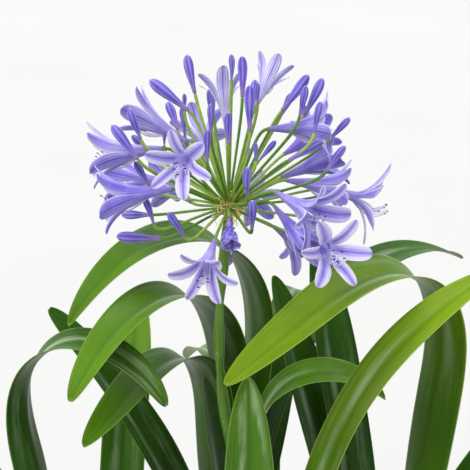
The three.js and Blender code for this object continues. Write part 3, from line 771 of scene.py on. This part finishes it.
# Places and ways in the head count to the right, upwards and forwards, places in millimetres.
# Each open flower: its foot, the way it looks, lean of its tepals' tips in degrees, size and
# finish.
BLOOMS = [
    ((-31, 49, -16), (-0.86, 0.5, -0.05), 50, 1.05, "pale"),
    ((-47, 43, 20), (-1, -0.1, 0.05), 55, 1.08, "pale"),
    ((-40, 13, 45), (-0.98, -0.14, 0), 62, 1.05, "deep"),
    ((-26, 37, 53), (-0.2, -0.22, 0.95), 80, 0.9, "pale"),
    ((-10, -23, 60), (-0.2, -0.64, 0.74), 84, 0.9, "pale"),
    ((0, -7, 65), (0.05, -0.75, 0.66), 10, 0.5, "faded"),
    ((-2, 60, -15), (-0.08, 0.93, -0.36), 60, 0.86, "white"),
    ((20, 75, -10), (0.36, 0.8, -0.45), 42, 0.82, "white"),
    ((29, 58, 5), (1, 0.04, 0), 84, 1, "even"),
    ((41, 23, -44), (0.92, 0.36, 0), 66, 1, "deep"),
    ((34, 10, 45), (0.66, -0.4, 0.64), 80, 1.05, "even"),
    ((60, -27, 38), (0.32, -0.12, 0.94), 82, 0.98, "pale"),
    ((79, 13, -15), (0.93, -0.3, 0.1), 76, 0.94, "pale"),
    ((43, 20, 0), (0.97, -0.15, 0), 66, 0.95, "even"),
    ((32, 1, 45), (0.6, -0.75, 0.25), 30, 0.76, "deep"),
    ((-48, 20, -38), (-0.88, 0.1, -0.45), 70, 0.98, "even"),
    ((-16, 44, -60), (-0.2, 0.45, -0.87), 76, 0.98, "pale"),
    ((12, 12, -72), (0.2, -0.1, -0.97), 72, 0.96, "even"),
    ((44, 42, -56), (0.6, 0.4, -0.7), 74, 0.98, "deep"),
    ((-30, 4, -62), (-0.5, 0.4, -0.77), 74, 0.98, "even"),
    ((36, -16, -56), (0.6, -0.4, -0.7), 72, 0.96, "even"),
]
# Each closed bud: its foot, the way it looks, and its length.
BUDS = [
    ((-25, 84, 0), (-0.2, 0.95, 0), 31),
    ((2, 95, -5), (0, 1, 0), 20),
    ((10, 80, 10), (0, 1, 0), 32),
    ((15, 53, 45), (0, 1, 0.1), 34),
    ((21, 75, 20), (0, 1, 0), 16),
    ((-13, 52, 40), (0, 1, 0.1), 22),
    ((-15, 74, -10), (0, 1, 0), 15),
    ((0, 43, 55), (0, 1, 0.2), 24),
    ((-15, 31, 55), (0, 1, 0.2), 24),
    ((-29, 70, 20), (-0.78, 0.62, 0.1), 37),
    ((-34, 73, -20), (0, 1, 0), 14),
    ((-34, 55, -25), (-0.1, 1, 0), 22),
    ((-63, 48, 34), (-0.35, 0.93, 0), 25),
    ((-64, 33, 46), (-0.6, 0.8, 0.1), 32),
    ((-47, 44, 25), (0, 1, 0), 12),
    ((-59, 15, 10), (-0.5, 0.87, 0), 22),
    ((-54, -13, 35), (-0.33, 0.94, 0), 22),
    ((-49, -23, 20), (-1, 0.05, 0), 34),
    ((-31, -22, 50), (-0.5, 0.8, 0.4), 24),
    ((13, 7, 62), (0, 0.8, 0.6), 26),
    ((16, -16, 60), (0, 0.8, 0.6), 26),
    ((19, 32, 45), (0, 1, 0), 14),
    ((22, 34, 10), (0.65, 0.76, 0), 20),
    ((42, 33, 35), (0.88, 0.48, 0), 30),
    ((61, 52, 42), (0.2, 0.98, 0), 24),
    ((39, 71, 0), (0.6, 0.8, 0), 35),
    ((52, 66, 15), (0.2, 0.98, 0), 24),
    ((57, 69, -10), (0.45, 0.9, 0), 32),
    ((77, 51, -24), (0.68, 0.73, 0), 24),
    ((70, 25, 32), (0.6, 0.8, 0), 24),
    ((-62, 40, -36), (-0.6, 0.7, -0.4), 24),
    ((-40, 60, -48), (-0.3, 0.8, -0.5), 30),
    ((-12, 72, -50), (-0.1, 0.9, -0.4), 26),
    ((18, 74, -44), (0.1, 0.9, -0.4), 30),
    ((40, 70, -36), (0.4, 0.8, -0.4), 24),
    ((70, 8, -60), (0.7, 0.2, -0.6), 26),
    ((66, -8, -46), (0.8, 0, -0.6), 28),
    ((0, -34, -64), (0, -0.5, -0.86), 26),
    ((-60, -6, -38), (-0.8, 0, -0.5), 30),
    ((14, 40, -76), (0.1, 0.4, -0.9), 22),
]


def head_vector(numbers):
    across, up, forward = numbers
    return Vector(
        (
            across,
            up * math.sin(HEAD_TILT) - forward * math.cos(HEAD_TILT),
            up * math.cos(HEAD_TILT) + forward * math.sin(HEAD_TILT),
        )
    )


def head_place(foot, look):
    return HUB + head_vector(foot) * MM, head_vector(look).normalized()


def new_curve(name, sides):
    curve = bpy.data.curves.new(name, "CURVE")
    curve.dimensions = "3D"
    curve.bevel_depth = 1.0
    curve.bevel_resolution = (sides - 4) // 2
    curve.use_fill_caps = True
    return curve


def mesh_of_curve(curve):
    """The curve as a mesh piece, with its ends closed."""
    piece = new_object(curve.name, curve)
    choose(piece)
    bpy.ops.object.convert(target="MESH")
    return bpy.context.object


def stalk_finish(name, shade, light):
    soak = (0.001, 0.002, 0.0005)
    skin = Finish(name, IOR=1.45, Subsurface_Weight=0.15, Subsurface_Radius=soak)
    at = skin.place()
    fine = skin.noise(at, 190.0, 3.0)
    cloud = skin.noise(at, 40.0, 2.0)
    colour = skin.mix(fine.step(0.3, 0.7) * 0.5 + cloud.step(0.35, 0.65) * 0.5, shade, light)
    skin.finish_with(colour, 0.42 + 0.12 * fine, fine, 0.15 * MM)
    return skin.material


STALK_FINISHES = {
    "pale": stalk_finish("stalk_pale", tint(126, 158, 50), tint(164, 188, 84)),
    "green": stalk_finish("stalk_green", tint(96, 140, 30), tint(134, 168, 56)),
    "deep": stalk_finish("stalk_deep", tint(64, 112, 20), tint(102, 146, 40)),
}

for order, (shade_name, shade) in enumerate(STALK_FINISHES.items()):
    stalks = new_curve("stalks", 8)
    stalks.resolution_u = 14
    for foot, look, *_ in (BLOOMS + BUDS)[order::3]:
        foot, look = head_place(foot, look)
        away = foot - HUB
        spline = stalks.splines.new("BEZIER")
        spline.bezier_points.add(1)
        near, far = spline.bezier_points
        for end in (near, far):
            end.handle_left_type = end.handle_right_type = "FREE"
        near.co = HUB + away.normalized() * HUB_RADIUS * 0.45
        near.handle_left = near.co
        near.handle_right = HUB + away * 0.55
        near.radius = STALK_RADIUS * 0.86
        far.handle_left = foot - look * 0.16 * away.length
        far.co = foot + look * 0.4 * MM
        far.handle_right = far.co
        far.radius = TUBE_FOOT_RADIUS * 0.76
    piece = mesh_of_curve(stalks)
    settle(piece, "flower_stalks_" + shade_name, shade, "flower_head", slot="stem")

knob_skin = Finish("knob_skin", IOR=1.4)
knob_grain = knob_skin.noise(knob_skin.place(), 420.0, 4.0, 0.7)
knob_colour = knob_skin.mix(knob_grain.step(0.35, 0.6), tint(122, 112, 48), tint(158, 176, 84))
knob_colour = knob_skin.mix(knob_grain.step(0.55, 0.7) * 0.7, knob_colour, tint(142, 94, 50))
knob_skin.finish_with(knob_colour, 0.7 + 0.2 * knob_grain, knob_grain, 1.2 * MM)
bpy.ops.mesh.primitive_ico_sphere_add(subdivisions=5, radius=HUB_RADIUS, location=HUB)
knob = bpy.context.object
for vertex in knob.data.vertices:
    vertex.co *= 1 + 0.16 * noise.noise(vertex.co * 420) + 0.05 * noise.noise(vertex.co * 1500)
settle(knob, "stalk_knob", knob_skin.material, "flower_head", slot="stem")

thread_skin = Finish("dry_bract", IOR=1.4)
thread_grain = thread_skin.noise(thread_skin.place(), 260.0, 2.0)
thread_colour = thread_skin.mix(
    thread_grain.step(0.4, 0.6), tint(206, 168, 78), tint(246, 234, 160)
)
thread_skin.finish_with(thread_colour, 0.6 + 0.2 * thread_grain, thread_grain, 0.1 * MM)
chance = random.Random(31)
threads = new_curve("bract_threads", 6)
for _ in range(BRACT_THREADS):
    out = Vector((chance.uniform(-1, 1), chance.uniform(-1.4, 0.3), chance.uniform(-0.5, 0.9)))
    out.normalize()
    side = out.cross(UP).normalized()
    other = out.cross(side)
    reach = chance.uniform(3, 17) * MM
    curl = chance.uniform(1.8, 4.8) * MM
    turns = chance.uniform(0.6, 1.9)
    phase = chance.uniform(0, 6.3)
    spline = threads.splines.new("POLY")
    spline.points.add(THREAD_HOPS)
    for k, point in enumerate(spline.points):
        share = k / THREAD_HOPS
        angle = phase + 2 * math.pi * turns * share
        bent = side * math.cos(angle) + other * math.sin(angle)
        droop = -UP * 4 * MM * share * share
        place = HUB + out * (HUB_RADIUS * 0.8 + reach * share) + bent * curl * share + droop
        point.co = (*place, 1)
        point.radius = blended(0.5, 0.2, share) * MM
bract_threads = mesh_of_curve(threads)
settle(bract_threads, "bract_threads", thread_skin.material, slot="stem")

# ---------------------------------------------------------------- buds
# Flowers that are still shut: slim clubs of six folded tepals, deep violet-blue, with a dark
# seam along each fold and a mauve foot that turns into the stalk's green.

BUD_RADIUS_SHARE = 0.116
BUD_FOLDS = 6
BUD_BELLY = 0.72

bud_soak = (0.003, 0.002, 0.005)
bud_skin = Finish("bud_skin", IOR=1.4, Subsurface_Weight=0.3, Subsurface_Radius=bud_soak)
bud_around, bud_along = bud_skin.across_and_along()
bud_cloud = bud_skin.noise(bud_skin.place(), 60.0, 2.0)
bud_seam_and_highlight = (bud_around * (2 * math.pi * BUD_FOLDS)).cosine()
bud_fine = (bud_around * (2 * math.pi * BUD_FOLDS * 5)).cosine()
bud_colour = bud_skin.coats(
    tint(98, 84, 190),
    (bud_cloud.step(0.35, 0.65), tint(134, 120, 216)),
    (bud_seam_and_highlight.step(-0.2, -0.9) * 0.5, tint(60, 46, 144)),
    # Pale lines between the dark seams are painted highlight.
    (bud_seam_and_highlight.step(0.2, 0.95) * 0.38, tint(186, 174, 240)),
    (bud_fine.step(0.4, 1.0) * 0.22, tint(78, 64, 170)),
    (bud_along.step(0.38, 0.08), tint(156, 132, 188)),
    (bud_along.step(0.07, 0.0) * 0.9, tint(146, 158, 92)),
    (bud_along.step(0.93, 1.0) * 0.5, tint(196, 190, 236)),
)
bud_skin.finish_with(bud_colour, 0.42 + 0.1 * bud_cloud, bud_seam_and_highlight + bud_fine * 0.2, 0.25 * MM)


def bud_girth(share):
    """A bud's radius at a share of its length, beside the radius of its belly."""
    if share < BUD_BELLY:
        return blended(0.4, 1.0, smooth_step((share / BUD_BELLY) ** 1.15))
    return max(0.03, (1 - ((share - BUD_BELLY) / (1 - BUD_BELLY)) ** 2.3) ** 0.62)


def make_bud(number, foot, look, length, chance):
    bpy.ops.mesh.primitive_uv_sphere_add(segments=24, ring_count=20, radius=1)
    bud = bpy.context.object
    belly = length * BUD_RADIUS_SHARE
    side = look.cross(UP)
    side = side.normalized() if side.length > 0.05 else Vector((1, 0, 0))
    other = look.cross(side)
    turned, bow = chance.uniform(0, 1.0), chance.uniform(-0.03, 0.03) * length
    for vertex in bud.data.vertices:
        share = 0.5 + math.asin(max(-1.0, min(1.0, vertex.co.z))) / math.pi
        angle = math.atan2(vertex.co.y, vertex.co.x)
        fold = 1 + 0.055 * math.cos(BUD_FOLDS * angle)
        girth = 0 if share in (0.0, 1.0) else belly * bud_girth(share) * fold
        bent = bow * math.sin(math.pi * share)
        vertex.co = (
            foot
            + look * length * share
            + side * (girth * math.cos(angle + turned) + bent)
            + other * girth * math.sin(angle + turned)
        )
    face_outwards(bud)
    settle(bud, f"bud_{number:02d}", bud_skin.material, "flower_head", slot="petal")


chance = random.Random(41)
for number, (foot, look, length) in enumerate(BUDS, 1):
    make_bud(number, *head_place(foot, look), length * MM, chance)

# ---------------------------------------------------------------- open flowers
# Each flower is a slim trumpet of six tepals, grown together into a tube below and parting
# above, three broad and three narrow in turn. They are lavender with a violet line down the
# middle and almost white margins. Six thin stamens with dark tips and one style hang out.

TUBE_LENGTH = 20 * MM
THROAT_RADIUS = 4.6 * MM
TEPAL_LENGTH = 36 * MM
INNER_TEPAL_WIDTH = 12 * MM
OUTER_TEPAL_WIDTH = 9 * MM
TEPAL_THICKNESS = 0.55 * MM
THROAT_LEAN = 14
LEAN_POWER = 1.5
OUTER_TEPAL_LEAN = 6
TEPAL_CURL = 0.2
TEPALS = 6
TEPAL_COLUMNS = 8
TEPAL_ROWS = 30
TEPAL_HOPS = 40
TEPAL_BROADEST = 0.62
STAMENS = 6
STAMEN_HOPS = 11
FILAMENT_REACHES = (20 * MM, 29 * MM)
STYLE_REACHES = (25 * MM, 30 * MM)
STAMEN_SAGS = (8 * MM, 13 * MM)
ANTHER_SCALE = (0.55 * MM, 0.55 * MM, 1.2 * MM)
# Flowers that differ, by number: one opens lower down, two are turned about their own axis by
# some degrees, and one is withered.
WIDE_OPEN = {13: 0.45}
OWN_TURNS = {5: 16, 12: -17}
WITHERED = 6
TUBE_SHARE = TUBE_LENGTH / (TUBE_LENGTH + TEPAL_LENGTH)


def petal_finish(name, body, light, edge, inside):
    """Petal skin: `body` to `light` lavender, a dark middle line, and an `edge` that is broad
    on the inside. Inside, the tube is painted paler and given a painted glow, in place of the
    light that comes through it."""
    soak = (0.003, 0.0025, 0.005)
    skin = Finish(name, IOR=1.38, Subsurface_Weight=0.45, Subsurface_Radius=soak)
    line = tint(94, 76, 196)
    across, along = skin.across_and_along()
    cloud = skin.noise(skin.place(), 70.0, 2.0)
    off_middle = abs(across - 0.5) * 2
    grain = skin.noise(skin.join(across * 30, along * 5, 0.0), 1.0, 2.0)
    veins = (across * (2 * math.pi * 11)).cosine()
    ribs = (across * (2 * math.pi * 5)).cosine()
    band = off_middle.step(0.06, 0.46, 1.0, 0.0) * along.step(0.2, 0.5)
    stripe = off_middle.step(0.03, 0.15, 1.0, 0.0) * along.step(0.12, 0.5, 0.35, 1.0)
    margin = off_middle.step(0.3 if inside else 0.62, 0.9) * along.step(0.28, 0.55)
    colour = skin.coats(
        body,
        (cloud.step(0.35, 0.65), light),
        (margin * (0.9 if inside else 0.6), edge),
        (veins.step(0.3, 1.0) * 0.12, line),
        (ribs.step(0.3, -0.8) * (0.16 if inside else 0.42), line),
        (band * (0.42 if inside else 0.3), line),
        (stripe * (0.4 if inside else 0.62), line),
    )
    if inside:
        # Painted light inside the tube: a paler throat and a painted glow, though no lamp is there.
        throat = along.step(0.48, 0.34)
        colour = skin.mix(throat * 0.8, colour, tint(214, 206, 250))
        painted_glow = skin.mix(throat, (0.0, 0.0, 0.0, 1.0), tint(196, 184, 250))
        skin.dress(Emission_Color=painted_glow, Emission_Strength=0.22)
    else:
        colour = skin.coats(
            colour,
            (along.step(0.22, 0.05) * 0.45, tint(172, 150, 222)),
            (along.step(0.03, 0.0) * 0.8, tint(156, 164, 122)),
        )
    skin.finish_with(
        colour, 0.42 + 0.15 * grain, veins * 0.35 + grain * 0.8 - stripe * 0.8, 0.25 * MM
    )
    return skin.material


# Each look of a flower: body and light of its back, body and light of its face, and margin.
PETAL_TINTS = {
    # The white look, on the two top flowers, is paler partly in its own colour and partly as
    # painted light.
    "white": ((212, 204, 254), (232, 226, 255), (208, 200, 250), (228, 221, 254), (248, 245, 255)),
    "pale": ((176, 164, 238), (200, 190, 246), (186, 174, 241), (208, 198, 247), (242, 237, 255)),
    "even": ((160, 146, 235), (186, 174, 244), (172, 159, 238), (196, 185, 245), (234, 228, 254)),
    "deep": ((138, 122, 226), (168, 154, 238), (152, 137, 230), (178, 165, 240), (220, 212, 252)),
    "faded": ((128, 112, 212), (166, 152, 232), (128, 112, 212), (166, 152, 232), (214, 204, 246)),
}
PETAL_FINISHES = {}
for name, colours in PETAL_TINTS.items():
    back_body, back_light, face_body, face_light, edge = (tint(*colour) for colour in colours)
    PETAL_FINISHES[name] = (
        petal_finish("petal_back_" + name, back_body, back_light, edge, False),
        petal_finish("petal_face_" + name, face_body, face_light, edge, True),
    )

filament = Finish("filament", IOR=1.4, Subsurface_Weight=0.3)
filament_cloud = filament.noise(filament.place(), 90.0, 2.0)
filament_colour = filament.mix(
    filament_cloud.step(0.35, 0.65), tint(198, 188, 240), tint(234, 228, 252)
)
filament.finish_with(filament_colour, 0.5 + 0.1 * filament_cloud, filament_cloud, 0.1 * MM)
anther = Finish("anther", IOR=1.4)
anther_grain = anther.noise(anther.place(), 900.0, 2.0)
anther_colour = anther.mix(anther_grain.step(0.35, 0.65), tint(46, 36, 92), tint(92, 80, 142))
anther.finish_with(anther_colour, 0.75 + 0.1 * anther_grain, anther_grain, 0.3 * MM)


def tepal_half_width(t, broad):
    """Half a tepal's width at a share t of its free length, without the tube."""
    full = (INNER_TEPAL_WIDTH if broad else OUTER_TEPAL_WIDTH) / 2
    throat = THROAT_RADIUS * math.sin(math.pi / TEPALS)
    opening = blended(throat, full, smooth_step(t / TEPAL_BROADEST))
    towards_tip = max(0, (t - TEPAL_BROADEST) / (1 - TEPAL_BROADEST))
    return opening * max(0.02, (1 - towards_tip**2.8) ** 0.5)


def add_tepal(index, spread, flare, chance):
    broad = index % 2 == 0
    tepal = new_sheet(TEPAL_COLUMNS, TEPAL_ROWS)
    tip_lean = spread + (0 if broad else OUTER_TEPAL_LEAN) + chance.uniform(-5, 5)
    sway = chance.uniform(-0.06, 0.06) * TEPAL_LENGTH
    twist = math.radians(chance.uniform(-14, 14))
    wave, phase = chance.uniform(0.1, 0.4) * MM, chance.uniform(0, 6.3)
    turn = 2 * math.pi * (index + 0.5) / TEPALS
    away = level_way(turn)
    hop = TEPAL_LENGTH / TEPAL_HOPS
    line = [(THROAT_RADIUS, TUBE_LENGTH)]
    for step in range(TEPAL_HOPS):
        bent = ((step + 0.5) / TEPAL_HOPS) ** flare
        tilt = math.radians(blended(THROAT_LEAN, tip_lean, bent))
        radius, height = line[-1]
        line.append((radius + math.sin(tilt) * hop, height + math.cos(tilt) * hop))
    for vertex in tepal.data.vertices:
        side, raw = vertex.co.x, vertex.co.y / 2 + 0.5
        along = 1 - (1 - raw) ** 1.25
        if along <= TUBE_SHARE:
            share = along / TUBE_SHARE
            radius = blended(TUBE_FOOT_RADIUS, THROAT_RADIUS, share**1.25)
            angle = turn + side * math.pi / TEPALS
            fold = 1 + 0.05 * math.cos(math.pi * side) * smooth_step(share * 2)
            level = TUBE_LENGTH * share
            vertex.co = (radius * fold * math.cos(angle), radius * fold * math.sin(angle), level)
            continue
        t = (along - TUBE_SHARE) / (1 - TUBE_SHARE)
        step = min(TEPAL_HOPS - 1, int(t * TEPAL_HOPS))
        first, second = line[step], line[step + 1]
        radius = blended(first[0], second[0], t * TEPAL_HOPS - step)
        height = blended(first[1], second[1], t * TEPAL_HOPS - step)
        tilt = math.radians(blended(THROAT_LEAN, tip_lean, t**flare))
        outside = away * math.cos(tilt) - UP * math.sin(tilt)
        sideways, outside = rolled(UP.cross(away), outside, twist * smooth_step(t))
        half = tepal_half_width(t, broad)
        curl = blended(0.27, TEPAL_CURL, smooth_step(t * 3))
        fold = 0.05 * THROAT_RADIUS * math.cos(math.pi * side) * (1 - t)
        inward = curl * half * side * side - fold
        ripple = wave * math.sin(phase + 9 * t + 2 * side) * smooth_step(t * 2)
        vertex.co = (
            away * radius
            + UP * height
            + sideways * (side * half + sway * t * t)
            - outside * (inward + ripple)
        )
    return tepal


def make_stamens(axis, foot, size, chance):
    """Six filaments and a style that sag a little and turn up at their ends, and six anthers."""
    down = axis * UP.dot(axis) - UP
    down = down.normalized() if down.length > 0.2 else axis.orthogonal().normalized()
    side = axis.cross(down)
    threads = new_curve("stamens", 6)
    ends = []
    for k in range(STAMENS + 1):
        style = k == STAMENS
        angle = 2 * math.pi * k / STAMENS + chance.uniform(-0.3, 0.3)
        outward = down * math.cos(angle) + side * math.sin(angle)
        reach = chance.uniform(*(STYLE_REACHES if style else FILAMENT_REACHES))
        sag = chance.uniform(*STAMEN_SAGS)
        spline = threads.splines.new("POLY")
        spline.points.add(STAMEN_HOPS)
        for n, point in enumerate(spline.points):
            share = n / STAMEN_HOPS
            forward = 0.75 * TUBE_LENGTH + (0.25 * TUBE_LENGTH + reach) * share
            apart = 0 if style else blended(1.6, 4.2, share) * MM
            droop = sag * (math.sin(math.pi * 0.62 * share) - 0.75 * share**3)
            place = axis * forward + outward * apart + down * droop
            point.co = (*(foot + place * size), 1)
            point.radius = blended(0.6, 0.42, share) * MM * size
        if not style:
            last, before = Vector(spline.points[-1].co[:3]), Vector(spline.points[-2].co[:3])
            ends.append((last, (last - before).normalized()))
    stamens = mesh_of_curve(threads)
    stamens.data.materials.append(filament.material)
    tips = []
    for place, way in ends:
        bpy.ops.mesh.primitive_uv_sphere_add(segments=8, ring_count=6, radius=1, location=place)
        tip = bpy.context.object
        across = way.cross(axis)
        across = across.normalized() if across.length > 0.1 else side
        tip.rotation_euler = across.to_track_quat("Z", "Y").to_euler()
        tip.scale = ANTHER_SCALE
        tip.data.materials.append(anther.material)
        tips.append(tip)
    return joined([stamens, *tips])


def make_bloom(number, foot, look, spread, size, finish, chance):
    flare = WIDE_OPEN.get(number, LEAN_POWER)
    bloom = joined([add_tepal(index, spread, flare, chance) for index in range(TEPALS)])
    open_mesh(bloom)
    bpy.ops.mesh.remove_doubles(threshold=0.02 * MM)
    close_mesh()
    withered = number == WITHERED
    if withered:
        for vertex in bloom.data.vertices:
            crease = Vector(
                (noise.noise(vertex.co * 230), noise.noise(vertex.co * 230 + Vector((5, 5, 5))), 0)
            )
            vertex.co += crease * 6 * MM * smooth_step(vertex.co.z / (30 * MM))
            angle = 1.6 * vertex.co.z / (50 * MM)
            x, y = vertex.co.x * 0.95, vertex.co.y * 0.95
            vertex.co.x = x * math.cos(angle) - y * math.sin(angle)
            vertex.co.y = x * math.sin(angle) + y * math.cos(angle)
    bloom.data.materials.clear()
    for side_finish in PETAL_FINISHES[finish]:
        bloom.data.materials.append(side_finish)
    reshape(bloom, "SOLIDIFY", thickness=TEPAL_THICKNESS, offset=-1, material_offset=1)
    bloom.rotation_mode = "QUATERNION"
    own_turn = Quaternion(UP, math.radians(OWN_TURNS.get(number, 0)))
    bloom.rotation_quaternion = UP.rotation_difference(look) @ own_turn
    bloom.location = foot
    bloom.scale = (size, size, size)
    bpy.ops.object.transform_apply()
    stamens = make_stamens(look, foot, 1.3 * size if withered else size, chance)
    node = f"bloom_{number:02d}"
    settle(joined([bloom, stamens]), "open_" + node, None, node, slot="petal")


chance = random.Random(53)
for number, (foot, look, *shape) in enumerate(BLOOMS, 1):
    make_bloom(number, *head_place(foot, look), *shape, chance)

# ---------------------------------------------------------------- floor and light
# A plain pale floor, and the soft light of a studio: one broad lamp over the left shoulder, a
# second one from behind, and an even glow all round.

FLOOR_SIDE = 120

floor_finish = Finish("floor", IOR=1.4)
floor_cloud = floor_finish.noise(floor_finish.place(), 1.5, 2.0)
floor_colour = floor_finish.mix(floor_cloud, tint(190, 190, 187), tint(197, 197, 194))
floor_finish.finish_with(floor_colour, 0.8 + 0.1 * floor_cloud, floor_cloud, 0.1 * MM)
bpy.ops.mesh.primitive_plane_add(size=FLOOR_SIDE)
floor = bpy.context.object
floor.name = "floor"
floor.data.materials.append(floor_finish.material)


def add_lamp(name, towards, width, power, colour):
    """A wide soft lamp, far off in the direction `towards` as seen from the plant."""
    data = bpy.data.lights.new(name, "SUN")
    data.angle = math.radians(width)
    data.energy = power
    data.color = colour
    lamp = new_object(name, data)
    lamp.rotation_euler = Vector(towards).to_track_quat("Z", "Y").to_euler()


add_lamp("broad_lamp", (-0.55, -0.5, 1.0), 42, 1.8, (1.0, 0.985, 0.95))
add_lamp("back_lamp", (0.1, 1.0, 1.35), 34, 1.7, (1.0, 1.0, 1.0))
world = bpy.data.worlds.new("studio")
world.use_nodes = True
sky = Nodes(world.node_tree)
upward = sky.split(sky.node("ShaderNodeTexCoord", {}, {}, "Generated"))[2]
dome = sky.mix(upward.step(-0.1, 0.9), tint(196, 198, 199), tint(246, 249, 255))
skyline = sky.mix(upward.step(0.03, 0.12), tint(244, 244, 242), dome)
background = world.node_tree.nodes["Background"]
sky.feed(background.inputs["Color"], skyline)
sky.feed(background.inputs["Strength"], 1.0)
bpy.context.scene.world = world
bpy.context.scene.view_settings.view_transform = "Standard"
